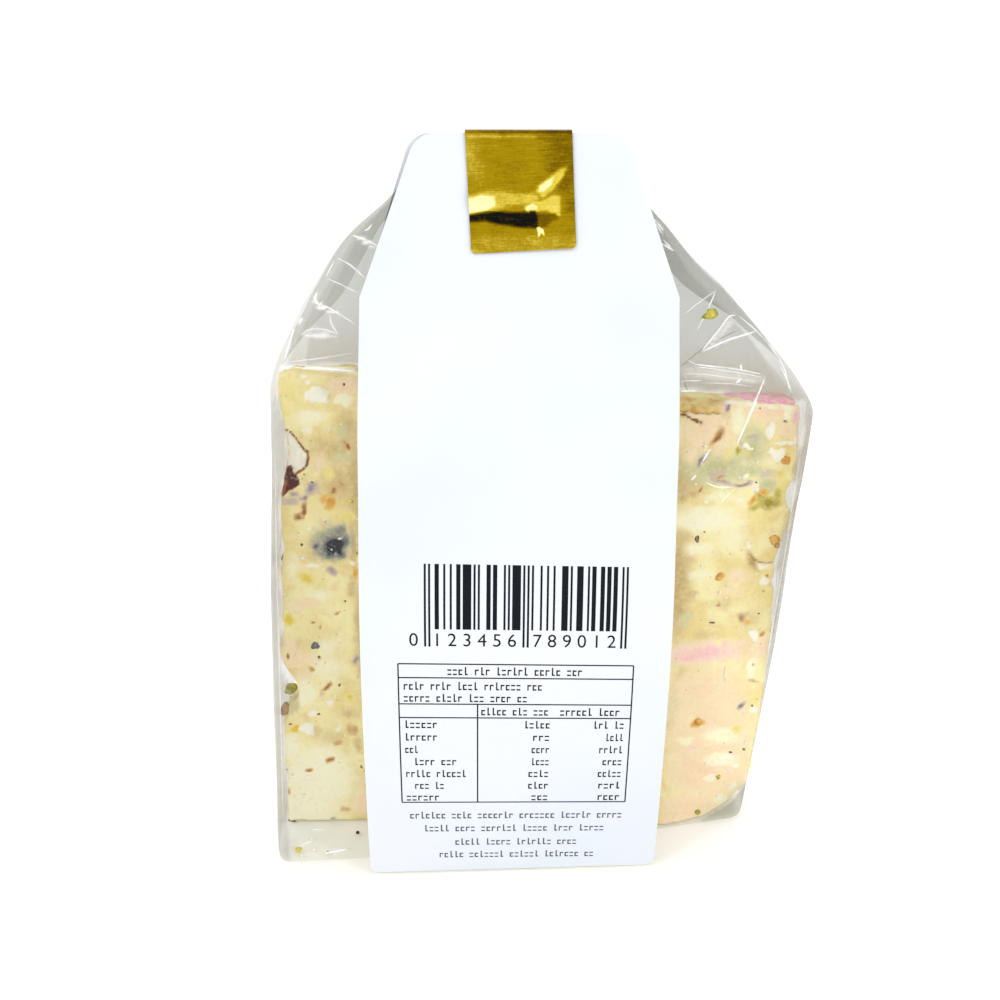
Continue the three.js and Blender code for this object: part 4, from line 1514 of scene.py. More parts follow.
    def _chip(self, own: np.ndarray, small: np.ndarray) -> np.ndarray:
        """How much each place lies in the torn part of the top edge, from 0 to 1."""
        across = (own[..., 0] - self.chip_middle) / self.chip_reach
        chip = np.exp(-(across**4)) * np.exp(-((own[..., 2] / self.chip_depth) ** 4))
        return chip * soft_step(-4.2, -2.6, own[..., 1] - self.top.at(own[..., 0]) + 0.7 * small)

    def _toe(self, own: np.ndarray) -> np.ndarray:
        """How much the face's foot comes forward at each place, from 0 to 1."""
        toe = soft_step(self.toe_height, 0.0, own[..., 1]) ** 1.5
        toe *= soft_step(*self.toe_left, own[..., 0])
        toe *= soft_step(*self.toe_right, own[..., 0])
        return toe * (1 - np.clip(own[..., 2] / self.thickness, 0, 1))

    def _crack(self, own: np.ndarray) -> np.ndarray:
        """How deep in a crack each place is, from 0 to 1."""
        depth = np.zeros(own.shape[:-1])
        wander = 0.16 * grain(own, 1.6, 41.0)
        for crack in self.cracks:
            knots = np.array(crack.path, dtype=float)
            for a, b in zip(knots[:-1], knots[1:]):
                gap = gap_to(own[..., :2], a, b) + wander
                depth = np.maximum(depth, crack.shine * np.exp(-((gap / crack.width) ** 2)))
        return depth

    def _sheets(self) -> list[np.ndarray]:
        """The six sides of the unit box as grids that share their edges, all facing out."""
        s = self._spread()
        t = np.linspace(0, 1, round(self.height / self.row_step) + 1)
        d = np.linspace(0, 1, self.depth_steps + 1)

        def sheet(rows: np.ndarray, columns: np.ndarray, order: Callable) -> np.ndarray:
            """One side as a grid of (across, up, into)."""
            r, c = np.meshgrid(rows, columns, indexing="ij")
            return np.stack(np.broadcast_arrays(*order(r, c)), -1)

        return [
            sheet(t, s, lambda r, c: (c, r, 0.0)),
            sheet(t, s[::-1], lambda r, c: (c, r, 1.0)),
            sheet(t, d[::-1], lambda r, c: (0.0, r, c)),
            sheet(t, d, lambda r, c: (1.0, r, c)),
            sheet(d[::-1], s, lambda r, c: (c, 0.0, r)),
            sheet(d, s, lambda r, c: (c, 1.0, r)),
        ]

    def front_point(self, across: float, up: float) -> tuple[Vector, Vector]:
        """A point of the front face and its outward normal, in the frame."""
        _, _, into = self.axes()
        own = np.array([[across, up, 0.0]])
        own[:, 2] = -self.sunk * grain(own, *self.grains[0])
        return Vector(self.place(own)[0]), Vector(-into)

    def build(self) -> bpy.types.Object:
        """The slab with its stains painted on it.

        Returns:
            The piece.
        """
        bm = bmesh.new()
        for share in self._sheets():
            own, facing = self._skin(share)
            own, rough, chipped = self._roughened(own, facing)
            numbers = {
                "own_x": own[..., 0], "own_y": own[..., 1], "rough": rough, "chipped": chipped,
                "front": np.clip(-facing[..., 2], 0, 1),
            }
            add_painted(bm, self.place(own), numbers)
        weld(bm)
        piece = settle(bm, "chocolate_slab", SlabFinish().make())
        self._stain(piece)
        return piece

    def _stain(self, piece: bpy.types.Object) -> None:
        """Paints the soft colours under the slab's skin, with the painted shade and highlight among them."""
        count = len(piece.data.vertices)
        own = np.zeros((count, 3))
        front = np.empty(count)
        for name, target in (("own_x", own[:, 0]), ("own_y", own[:, 1]), ("front", front)):
            column = np.empty(count, dtype=np.float32)
            piece.data.attributes[name].data.foreach_get("value", column)
            target[:] = column
        wander = np.stack([grain(own, 2.4, seed) for seed in (51.0, 67.0)], -1)
        ragged = np.stack([grain(own, 0.9, seed) for seed in (73.0, 89.0)], -1)
        flat = own[:, :2] + 0.8 * wander + 0.3 * ragged
        shaped = own[:, :2] + 0.12 * wander + 0.3 * ragged
        hidden = 1 - front
        spots_behind = self._drawn_spots()
        for stain in Stain:
            amount = np.zeros(count)
            for spot in STAINS.get(stain, ()):
                amount = np.maximum(amount, self._soft(flat, spot) * front)
            for spot in spots_behind.get(stain, ()):
                amount = np.maximum(amount, self._soft(flat, spot) * hidden)
            if stain in SHAPED:
                amount = np.maximum(amount, covered(shaped, SHAPED[stain]) * front)
            # painted shade: the cracks are darkened as deep as they are cut
            if stain is Stain.CRACK:
                amount = self._crack(own) * front
            paint(piece, stain.name.lower(), amount)

    @staticmethod
    def _soft(flat: np.ndarray, spot: Spot) -> np.ndarray:
        """How strongly a spot colours each place."""
        turn = math.radians(spot.turn)
        along = np.array([math.sin(turn), math.cos(turn)])
        side = np.array([math.cos(turn), -math.sin(turn)])
        offset = flat - np.array([spot.across, spot.up])
        reach = ((offset @ along) / spot.long) ** 2 + (offset @ side) ** 2
        softness = 1.3 if spot.size < 1.5 else 1.0
        return spot.strength * np.exp(-((reach / spot.size**2) ** softness))

    @staticmethod
    def _drawn_spots() -> dict[Stain, list[Spot]]:
        """Stains for the sides and the hidden face, drawn by chance."""
        draw = np.random.default_rng(5)
        counts = {
            Stain.PALE: 14, Stain.PEACH: 16, Stain.PINK: 7, Stain.YELLOW: 16,
            Stain.CARAMEL: 46, Stain.LILAC: 14, Stain.BERRY: 5,
        }
        drawn = {}
        for stain, count in counts.items():
            low, high = (3, 8) if stain in (Stain.PALE, Stain.PEACH) else (0.8, 3.2)
            drawn[stain] = [
                Spot(
                    draw.uniform(2, 119), draw.uniform(2, 108), draw.uniform(low, high),
                    draw.uniform(0.5, 1.0), draw.uniform(1, 2), draw.uniform(0, 180),
                )
                for _ in range(count)
            ]
        return drawn


# ---- What is in the slab ----


@dataclass(frozen=True)
class Bits:
    """Small pieces of one kind: those the front shows, and drawn ones over the rest."""

    name: str
    finish: BitFinish
    shown: tuple[Spot, ...]
    drawn: int
    size: tuple[float, float]
    flatness: float = 0.28
    seed: int = 1
    loose: tuple[tuple[float, float, float, float], ...] = ()
    unevenness: float = 0.576
    lump: float = 1.4  # how many bumps go round a piece

    def _lump(
        self, bm: bmesh.types.BMesh, centre: Vector, normal: Vector, size: float,
        long: float, turn: float, flatness: float, draw: np.random.Generator,
    ) -> None:
        """Adds one uneven lump that lies on a face."""
        rounds = 2 if size > 0.6 else 1
        made = bmesh.ops.create_icosphere(bm, subdivisions=rounds, radius=1.0)["verts"]
        shift = Vector(draw.uniform(0, 50, 3))
        for vert in made:
            vert.co *= 1 + self.unevenness * noise.noise(vert.co * self.lump + shift)
        upright = Vector((0, 0, 1)) if abs(normal.z) < 0.9 else Vector((0, 1, 0))
        side = upright.cross(normal).normalized()
        along = normal.cross(side)
        way = (along * math.cos(turn) + side * math.sin(turn)).normalized()
        other = normal.cross(way)
        turned = Matrix((other, way, normal)).transposed().to_4x4()
        scaled = Matrix.Diagonal((size, size * long, size * flatness, 1.0))
        bmesh.ops.transform(bm, matrix=Matrix.Translation(centre) @ turned @ scaled, verts=made)

    def build(self, slab: Slab, faces: "SlabFaces") -> bpy.types.Object:
        """All the pieces of this kind as one object.

        Args:
            slab: the slab that they are set in.
            faces: the slab's finished surface.

        Returns:
            The piece.
        """
        bm = bmesh.new()
        draw = np.random.default_rng(self.seed)
        for spot in self.shown:
            point, normal = slab.front_point(spot.across, spot.up)
            met = faces.nearest(point)
            self._lump(
                bm, met[0] + normal * 0.02, normal, spot.size, spot.long,
                math.radians(spot.turn), self.flatness, draw,
            )
        for _ in range(self.drawn):
            point, normal = faces.drawn(draw)
            self._lump(
                bm, point, normal, draw.uniform(*self.size), draw.uniform(1, 1.8),
                draw.uniform(0, math.pi), self.flatness, draw,
            )
        for x, y, z, size in self.loose:
            self._lump(
                bm, Vector((x, y, z)), Vector((0, 0, 1)), size, 1.3,
                draw.uniform(0, math.pi), 0.75, draw,
            )
        return settle(bm, self.name, self.finish.make())


class SlabFaces:
    """The slab's finished surface, to set small pieces on."""

    on_hidden_face: float = 0.55  # this share of the drawn pieces, and the next one behind the card
    behind_card: float = 0.17
    start: float = 6.0  # mm in front of a place, from where it is looked for

    def __init__(self, slab: Slab, piece: bpy.types.Object) -> None:
        """Reads the surface once."""
        self.slab = slab
        self.tree = BVHTree.FromPolygons(
            [Vector(c) for c in corners_mm(piece)], [p.vertices[:] for p in piece.data.polygons]
        )
        self.into = Vector(slab.axes()[2])

    def nearest(self, point: Vector) -> tuple[Vector, Vector]:
        """The surface's point in front of a place, along the slab's depth, and its normal."""
        met = self.tree.ray_cast(point - self.into * self.start, self.into)
        if met[0] is None:
            met = self.tree.find_nearest(point)
        return met[0], met[1]

    def drawn(self, draw: np.random.Generator) -> tuple[Vector, Vector]:
        """A point drawn by chance on the sides, the hidden face or behind the card."""
        while True:
            where = draw.uniform(0, 1, 3)
            where[1] = 0.05 + 0.9 * where[1]
            kind = draw.uniform()
            if kind < self.on_hidden_face:
                where[2] = 1.0
            elif kind < self.on_hidden_face + self.behind_card:
                where[2] = 0.0
                where[0] = draw.uniform(0.22, 0.74)
            else:
                where[0] = round(where[0])
                where[2] = 0.42 + 0.58 * where[2]
            own, facing = self.slab._skin(where[None])
            point = Vector(self.slab.place(own)[0])
            across, up, into = self.slab.axes()
            out = Vector(facing[0][0] * across + facing[0][1] * up + facing[0][2] * into)
            met = self.tree.find_nearest(point)
            if met[0] is not None and out.length > 0.5:
                return met[0], out.normalized()


def filling() -> list[Bits]:
    """The kinds of small pieces in the slab and loose in the bag."""
    return [
        Bits(
            "dark_seeds",
            BitFinish("dark_seed", srgb(150, 132, 110), srgb(98, 86, 78)),
            spots(
                (18.8, 109.6, 0.37), (10.7, 87.1, 0.3, 1, 1.3, 90), (9, 89, 0.19, 1, 1.1, 90),
                (8.5, 88, 0.15), (6.1, 98.9, 0.15), (7.6, 72.2, 0.39, 1, 1.1, 90),
                (17.1, 58.2, 0.32, 1, 1.2, 90), (20.3, 70, 0.23), (10.3, 44.2, 0.34),
                (14.9, 36.8, 0.34, 1, 1.7, 15), (9.6, 29.3, 0.29, 1, 1.8, 65), (2.6, 26.7, 0.29, 1, 1.6, 90),
                (19.4, 15, 0.34, 1, 1.5, 160), (1.7, 0.2, 0.4, 1, 3.1, 100), (0.6, 14.3, 0.26),
                (112.9, 103.4, 0.24), (118.7, 100.4, 0.28, 1, 1.4, 75), (113, 86, 0.26, 1, 1.2),
                (99.8, 72.4, 0.58, 1, 1.8), (115.5, 53.7, 0.27), (104.4, 51.5, 0.32, 1, 2.2, 90),
                (110.6, 17.1, 0.31, 1, 1.8, 90), (113.9, 17.8, 0.39, 1, 1.1, 90),
                (113.5, 7, 0.26, 1, 1.4, 90), (115.3, 29.6, 0.26, 1, 1.4, 160), (116.4, 31.3, 0.18),
            ),
            26, (0.3, 0.6), seed=11,
        ),
        Bits(
            "slate_berries",
            BitFinish("slate_berry", srgb(128, 132, 134), srgb(52, 60, 74), 0.3),
            spots((9.5, 47.1, 0.9, 1, 1.1, 70)),
            5, (1.2, 2.2), 0.5, seed=12,
        ),
        Bits(
            "caramel_bits",
            BitFinish("caramel_bit", srgb(210, 142, 54), srgb(236, 186, 98), 0.35),
            spots(
                (119.3, 91.3, 0.9, 1, 1.2), (105.7, 63, 0.8, 1, 1.2, 40), (101.5, 74.2, 0.28),
                (117, 63.2, 0.45), (118.2, 72, 1.1, 1, 1.3), (102.2, 25.5, 0.75, 1, 1.4, 115),
                (118.6, 66.6, 0.6),
            ),
            40, (0.5, 1.5), seed=13,
        ),
        Bits(
            "nut_bits",
            BitFinish("nut_bit", srgb(206, 164, 108), srgb(168, 122, 74), 0.5),
            spots(
                (0.9, 31.2, 1.2, 1, 1.4, 20), (118.9, 70.7, 0.7),
            ),
            60, (0.6, 2.0), 0.5, seed=14,
        ),
        Bits(
            "sherbet_bits",
            BitFinish("sherbet_bit", srgb(232, 206, 60), srgb(240, 222, 120), 0.4),
            spots(
                (19.3, 82.6, 0.6), (116.3, 59.3, 0.45), (115, 40.4, 0.4), (20, 14, 0.5),
            ),
            20, (0.4, 1.0), seed=15,
            loose=((-56.4, -17.2, 0.9, 0.7),),
        ),
        Bits(
            "pistachio_bits",
            BitFinish("pistachio_bit", srgb(136, 138, 34), srgb(206, 194, 76), 0.4),
            spots(
                (107.9, 10.6, 0.55, 1, 1.5), (102.7, 1.7, 0.75), (3, 44.4, 0.4, 1, 2),
            ),
            16, (0.7, 1.8), 0.6, seed=16,
            loose=((36.0, -4.4, 126.6, 1.5), (-49.2, -18.1, 0.8, 0.4), (-58.8, -1.6, 35.5, 1.5)),
        ),
        Bits(
            "cranberry_bits",
            BitFinish("cranberry_bit", srgb(96, 24, 30), srgb(52, 14, 26), 0.22),
            (),
            7, (1.2, 2.4), 0.55, seed=17,
            loose=((-43.1, -10.4, 0.7, 0.5),),
        ),
        Bits(
            "milk_flecks",
            BitFinish("milk_fleck", srgb(255, 253, 242), srgb(250, 243, 220), 0.5),
            spots(
                (18.8, 89.5, 0.26, 1, 2, 15), (8.6, 98, 0.3, 1, 1.9, 15), (15.1, 99.2, 0.26, 1, 1.7),
                (6.7, 75.1, 0.3, 1, 2, 90), (7.7, 69, 0.41, 1, 1.8, 90), (16.5, 73.6, 0.28, 1, 2.5, 80),
                (3, 59.8, 0.37, 1, 1.5, 90), (10.6, 34, 0.2, 1, 3.7, 70), (13.9, 33.8, 0.43),
                (2.3, 13.2, 0.4, 1, 1.1, 90), (0.8, 13.8, 0.4, 1, 1.1, 90), (4.4, 45.2, 0.4, 1, 1.3, 90),
                (19.7, 10.6, 0.29, 1, 1.8), (5, 7.9, 0.29, 1, 1.6, 90), (2, 12.2, 0.34, 1, 1.5, 90),
                (100.7, 94.6, 0.43, 1, 1.3, 90), (113, 90.9, 0.43, 1, 1.4, 110),
                (98.8, 85.8, 0.34, 1, 1.5, 90), (109.1, 87.1, 0.34, 1, 1.6, 150),
                (113.3, 83.8, 0.34, 1, 1.9, 90), (107.6, 60.7, 0.34, 1, 1.7, 90),
                (105.8, 59.1, 0.44, 1, 1.1, 90), (101.2, 65.8, 0.34, 1, 1.1, 90), (100.2, 58.4, 0.24, 1, 2.6),
                (103.2, 56.4, 0.34, 1, 1.1, 90), (111.9, 50.3, 0.34, 1, 1.7, 70),
                (113.3, 27.3, 0.36, 1, 1.6, 20), (114.2, 19.7, 0.41, 1, 1.4), (108.1, 38.2, 0.23, 1, 8.9),
                (110.4, 12.3, 0.36, 1, 1.6, 90), (104.6, 14, 0.41, 1, 1.5, 90),
            ),
            90, (0.3, 0.9), 0.25, seed=18,
            loose=(
                (-57.8, -15.8, 0.8, 0.5), (-55.2, -18.9, 0.7, 0.4), (-52.6, -16.8, 0.7, 0.45),
                (-47.9, -19.4, 0.7, 0.35), (-44.6, -16.2, 0.6, 0.3), (-54, -12.6, 0.7, 0.4),
            ),
            unevenness=0.8,
        ),
    ]


@dataclass(frozen=True)
class Marshmallow:
    """The pink marshmallow that shows along the top cut and at the right corner."""

    blocks: tuple[tuple[tuple[float, float, float], tuple[float, float, float]], ...] = (
        ((113.9, 104.2, 6.6), (7.6, 0.9, 5.6)),
        ((120.6, 100.4, 3.4), (1.7, 3.0, 3.0)),
        ((121.0, 97.4, 2.6), (1.0, 1.6, 2.0)),
    )
    cuts: int = 22
    bluntness: float = 0.38
    ball: float = 1.25

    def build(self, slab: Slab) -> bpy.types.Object:
        """The marshmallow.

        Args:
            slab: the slab that it is set in.

        Returns:
            The piece.
        """
        bm = bmesh.new()
        across, up, into = (Vector(axis) for axis in slab.axes())
        for middle, half in self.blocks:
            before = len(bm.verts)
            made = bmesh.ops.create_cube(bm, size=2.0)["verts"]
            edges = {edge for vert in made for edge in vert.link_edges}
            bmesh.ops.subdivide_edges(bm, edges=list(edges), cuts=self.cuts, use_grid_fill=True)
            bm.verts.ensure_lookup_table()
            for vert in bm.verts[before:]:
                vert.co = vert.co.lerp(vert.co.normalized() * self.ball, self.bluntness)
                own = Vector(middle) + Vector(vert.co[i] * half[i] for i in range(3))
                crumb = 0.28 * noise.noise(own * 0.9) + 0.16 * noise.noise(own * 2.1)
                own += vert.co.normalized() * crumb
                vert.co = slab.place(np.array([tuple(own)]))[0]
        finish = BitFinish("pink_marshmallow", srgb(246, 172, 192), srgb(253, 206, 214), 0.6)
        return settle(bm, "marshmallow", finish.make())


# ---- Cards and print ----


@dataclass(frozen=True)
class Card:
    """One die-cut card that hangs from the seal, as the solid of the same name has it."""

    node: str
    hang: Profile
    centre: Profile
    turn: Profile
    out: int
    width: float = 66.0
    top_width: float = 42.6
    shoulder: float = 32.1
    corner: float = 5.5
    foot_corner: float = 2.0
    thickness: float = 0.45
    top: float = 162.8
    columns: int = 44
    arc_rows: int = 12
    slope_rows: int = 24
    side_rows: int = 90
    foot_rows: int = 7

    @property
    def slope(self) -> float:
        """How fast the shoulders widen downwards."""
        return (self.width - self.top_width) / 2 / self.shoulder

    @property
    def corner_turn(self) -> float:
        """The angle that a top corner's arc turns through."""
        return math.pi / 2 - math.atan(self.slope)

    @property
    def foot(self) -> float:
        """The height of the card's bottom edge."""
        return self.hang.knots[0][0]

    def half_width(self, height: np.ndarray) -> np.ndarray:
        """Half of the card's width at each height."""
        down = self.top - height

        def loss(radius: float, distance: np.ndarray) -> np.ndarray:
            """How far a round corner takes the edge in."""
            short = np.maximum(radius - distance, 0)
            return radius - np.sqrt(radius**2 - short**2)

        straight = self.width / 2 - loss(self.foot_corner, height - self.foot)
        sloping = self.top_width / 2 + self.slope * down
        arc_middle = self.top_width / 2 + self.corner * (self.slope - math.hypot(1, self.slope))
        rounded = arc_middle + self.corner - loss(self.corner, down)
        above = np.where(
            down > self.corner * (1 - math.cos(self.corner_turn)), sloping, rounded
        )
        return np.where(down > self.shoulder, straight, above)

    def point(self, height: np.ndarray, across: np.ndarray, lift: float = 0.0) -> np.ndarray:
        """Places on the card.

        Args:
            height: their heights.
            across: how far they are to the right of its centre line.
            lift: how far outwards from its middle surface.

        Returns:
            The places.
        """
        height, across = np.broadcast_arrays(np.asarray(height, float), np.asarray(across, float))
        middle = np.stack(
            [
                self.centre.at(height) + across,
                self.hang.at(height) + across * self.turn.at(height),
                height,
            ],
            -1,
        )
        return middle + lift * self.normal(height)

    def normal(self, height: np.ndarray) -> np.ndarray:
        """The way that the card faces at each height."""
        step = 0.2
        rise = self.hang.at(height + step) - self.hang.at(height - step)
        way = np.stack([0 * rise, self.out * (2 * step + 0 * rise), -self.out * rise], -1)
        return way / np.linalg.norm(way, axis=-1, keepdims=True)

    def rows(self) -> np.ndarray:
        """Heights of the rows, close together round the corners."""
        turns = np.linspace(0, self.corner_turn, self.arc_rows)
        top_arc = self.top - self.corner * (1 - np.cos(turns))
        slope = np.linspace(top_arc[-1], self.top - self.shoulder, self.slope_rows)[1:]
        sides = np.linspace(slope[-1], self.foot + self.foot_corner, self.side_rows)[1:]
        turns = np.linspace(0, np.pi / 2, self.foot_rows)
        foot_arc = self.foot + self.foot_corner * (1 - np.sin(turns))
        return np.concatenate([top_arc, slope, sides, foot_arc[1:]])

    def build(self, finish: bpy.types.Material) -> bpy.types.Object:
        """The card.

        Args:
            finish: its material.

        Returns:
            The piece that stands for the solid card.
        """
        heights = self.rows()
        shares = np.linspace(-1, 1, self.columns + 1) * -self.out
        across = self.half_width(heights)[:, None] * shares[None, :]
        faces = self.point(heights[:, None], across, self.thickness / 2)[::-1]
        bm = bmesh.new()
        add_surface(bm, faces)
        bmesh.ops.recalc_face_normals(bm, faces=bm.faces[:])
        outwards = sum(face.normal.y for face in bm.faces) * self.out
        if outwards < 0:
            bmesh.ops.reverse_faces(bm, faces=bm.faces[:])
        bmesh.ops.solidify(bm, geom=bm.faces[:], thickness=self.thickness)
        piece = settle(bm, f"{self.node}_dressed", finish, [self.node])
        piece.data.set_sharp_from_angle(angle=math.radians(50))
        return piece


PRINTED = Card(
    "printed_card",
    Profile((
        (0.5, -23.3), (22, -25.8), (48, -27.3), (68, -26.3), (90, -21.7),
        (106, -18.2), (130, -8.2), (142, -4.6), (151, -2.5), (157, -1.85), (162.8, -1.1),
    )),
    Profile(((0, -5.3), (162.8, -4))),
    Profile(((0, 0.045), (162.8, 0))),
    -1,
)
PLAIN = Card(
    "plain_card",
    Profile((
        (0.5, 24.5), (25, 27.2), (60, 27.8), (92, 27.2), (108, 25.8),
        (120, 20.6), (130, 14.2), (142, 6.4), (151, 1.7), (157, 0.5), (162.8, -0.3),
    )),
    Profile(((0, -4.4), (162.8, -5))),
    Profile(((0, 0.03), (162.8, 0))),
    1,
)


class Tick(Enum):
    """The marks that stand for small type: strokes of (left, right, bottom, top) in a cell."""

    PAIR = ((0.06, 0.8, 0.0, 0.18), (0.06, 0.8, 0.52, 0.7))
    POST = ((0.1, 0.34, 0.0, 0.7), (0.34, 0.82, 0.52, 0.7))
    TALL = ((0.26, 0.52, 0.0, 1.0), (0.52, 0.8, 0.0, 0.18))
    BLOCK = ((0.08, 0.8, 0.0, 0.18), (0.08, 0.34, 0.18, 0.52), (0.08, 0.8, 0.52, 0.7))


@dataclass(frozen=True)
class Print:
    """The generic print on the card: a bar code, a ruled table and lines of ticks."""

    card: Card = PRINTED
    tilt: float = -0.026  # the print leans by this much, downwards to the right
    lift: float = 0.012
    strip_step: float = 1.6
    digits: str = "0123456789012"
    modules: int = 95
    digit_starts: tuple[float, float, float] = (-7.2, 3.8, 50.6)  # in modules from the bars' left
    digit_step: float = 7.0
    capital: float = 0.7  # how high a digit is, as a share of the type's size
    bars_left: float = -19.5
    bars_right: float = 23.35
    bars_top: float = 77.9
    bars_foot: float = 64.0
    guards_foot: float = 60.1
    digit_height: float = 2.9
    table_left: float = -25.1
    table_right: float = 25.1
    table_top: float = 56.1
    rules: tuple[float, ...] = (52.84, 46.48, 43.08)
    table_foot: float = 20.5
    divider: float = -8.2
    rule: float = 0.3
    type_height: float = 1.95
    type_pitch: float = 0.6
    rows_top: float = 41.4
    row_step: float = 3.24
    labels: tuple[float, ...] = (7.3, 7.3, 3.0, 9.5, 13.5, 6.7, 7.5)
    indents: tuple[float, ...] = (0, 0, 0, 1.9, 0, 1.9, 0)
    near_values: tuple[float, ...] = (5.8, 3.9, 4.1, 4.1, 4.7, 4.7, 3.9)
    far_values: tuple[float, ...] = (6.9, 4.1, 5.4, 4.5, 5.4, 5.2, 5.2)
    label_left: float = -24.1
    near_right: float = 7.7
    far_right: float = 23.9
    heads: tuple[tuple[float, float, float], ...] = (
        (-14.7, 14.3, 54.5), (-24.1, 5.8, 50.9), (-24.1, 2.6, 48.0),
        (-7.5, 7.25, 44.7), (9.6, 22.8, 44.7),
    )
    footer: tuple[tuple[float, float, float], ...] = (
        (-23.5, 24.7, 16.8), (-20.4, 20.8, 13.0), (-13.4, 14.7, 8.9), (-17.1, 18.8, 5.1),
    )

    @property
    def module(self) -> float:
        """How wide the thinnest bar is."""
        return (self.bars_right - self.bars_left) / self.modules

    def _inked(self, height: np.ndarray | float, across: np.ndarray | float) -> np.ndarray:
        """Places of the print on the card, from where they are before it leans."""
        lift = self.card.thickness / 2 + self.lift
        return self.card.point(height + self.tilt * across, across, lift)

    def _strip(
        self, bm: bmesh.types.BMesh, left: float, right: float, foot: float, top: float
    ) -> None:
        """Adds one inked rectangle that follows the card."""
        rows = max(1, math.ceil((top - foot) / self.strip_step))
        heights, across = np.meshgrid(
            np.linspace(foot, top, rows + 1), np.array([left, right]), indexing="ij"
        )
        add_surface(bm, self._inked(heights, across))

    def _bars(self) -> list[tuple[int, int, bool]]:
        """The bar code's bars of (first module, modules, is a guard) for the digits."""
        odd = "0001101 0011001 0010011 0111101 0100011 0110001 0101111 0111011 0110111 0001011"
        codes = odd.split()
        flipped = ["".join("10"[int(bit)] for bit in code) for code in codes]
        evens = [code[::-1] for code in flipped]
        parity = "OOOOOO OOEOEE OOEEOE OOEEEO OEOOEE OEEOOE OEEEOO OEOEOE OEOEEO OEEOEO".split()
        pattern = parity[int(self.digits[0])]
        left = "".join(
            codes[int(digit)] if kind == "O" else evens[int(digit)]
            for digit, kind in zip(self.digits[1:7], pattern)
        )
        right = "".join(flipped[int(digit)] for digit in self.digits[7:])
        modules = f"101{left}01010{right}101"
        guards = {*range(3), *range(45, 50), *range(92, 95)}
        bars = []
        start = None
        for i, bit in enumerate(modules + "0"):
            if bit == "1" and start is None:
                start = i
            if bit == "0" and start is not None:
                bars.append((start, i - start, start in guards))
                start = None
        return bars

    def _ticks(
        self, bm: bmesh.types.BMesh, left: float, right: float, middle: float, height: float,
        draw: np.random.Generator,
    ) -> None:
        """Adds one line of small marks in word-like groups."""
        pitch = self.type_pitch * height
        cells = max(1, round((right - left) / pitch))
        pitch = (right - left) / cells
        word = 0
        for i in range(cells):
            word += 1
            if word > draw.integers(3, 9) and i < cells - 2:
                word = 0
                continue
            tick = list(Tick)[draw.integers(len(Tick))]
            for a, b, c, d in tick.value:
                x = left + i * pitch
                foot = middle - height / 2
                self._strip(bm, x + a * pitch, x + b * pitch, foot + c * height, foot + d * height)

    def _table(self, bm: bmesh.types.BMesh) -> None:
        """Adds the table's frame, its rules and its lines."""
        half = self.rule / 2
        for height in (self.table_top, *self.rules, self.table_foot):
            self._strip(bm, self.table_left, self.table_right, height - half, height + half)
        for across in (self.table_left, self.table_right):
            self._strip(bm, across - half, across + half, self.table_foot, self.table_top)
        self._strip(bm, self.divider - half, self.divider + half, self.table_foot, self.rules[1])
        draw = np.random.default_rng(3)
        for left, right, middle in self.heads:
            self._ticks(bm, left, right, middle, self.type_height, draw)
        for i, label in enumerate(self.labels):
            middle = self.rows_top - i * self.row_step
            start = self.label_left + self.indents[i]
            self._ticks(bm, start, start + label, middle, self.type_height, draw)
            for end, wide in ((self.near_right, self.near_values), (self.far_right, self.far_values)):
                self._ticks(bm, end - wide[i], end, middle, self.type_height, draw)

    def _digits(self, bm: bmesh.types.BMesh) -> None:
        """Adds the plain digits under the bars."""
        first, left, right = self.digit_starts
        places = [first, *(half + self.digit_step * i for half in (left, right) for i in range(6))]
        starts = [self.bars_left + place * self.module for place in places]
        for digit, start in zip(self.digits, starts):
            curve = bpy.data.curves.new("digit", "FONT")
            curve.body = digit
            curve.size = self.digit_height / self.capital
            lettered = bpy.data.objects.new("digit", curve)
            shape = lettered.to_mesh()
            foot = self.guards_foot + 0.15
            verts = [
                bm.verts.new(self._inked(foot + vert.co.y, start + vert.co.x)) for vert in shape.vertices
            ]
            for face in shape.polygons:
                bm.faces.new([verts[i] for i in face.vertices])
            lettered.to_mesh_clear()
            bpy.data.objects.remove(lettered)
            bpy.data.curves.remove(curve)

    def build(self) -> list[bpy.types.Object]:
        """The dark print and the grey print.

        Returns:
            Both pieces.
        """
        dark = bmesh.new()
        for first, wide, is_guard in self._bars():
            foot = self.guards_foot if is_guard else self.bars_foot
            left = self.bars_left + first * self.module
            self._strip(dark, left, left + wide * self.module, foot, self.bars_top)
        self._table(dark)
        self._digits(dark)
        grey = bmesh.new()
        draw = np.random.default_rng(9)
        for left, right, middle in self.footer:
            self._ticks(grey, left, right, middle, self.type_height, draw)
        finishes = (
            InkFinish("dark_ink", srgb(14, 22, 28)),
            InkFinish("grey_ink", srgb(84, 90, 96)),
        )
        return [
            settle(bm, name, finish.make())
            for bm, name, finish in zip((dark, grey), ("dark_print", "grey_print"), finishes)
        ]


# ---- The seal ----


@dataclass(frozen=True)
class FoilCrease(Patch):
    """One side of a crease in the foil, with its colour painted brighter or darker than the rest: a painted
    highlight or a painted shadow, as its tone says.
    """

    tone: float = 0.5


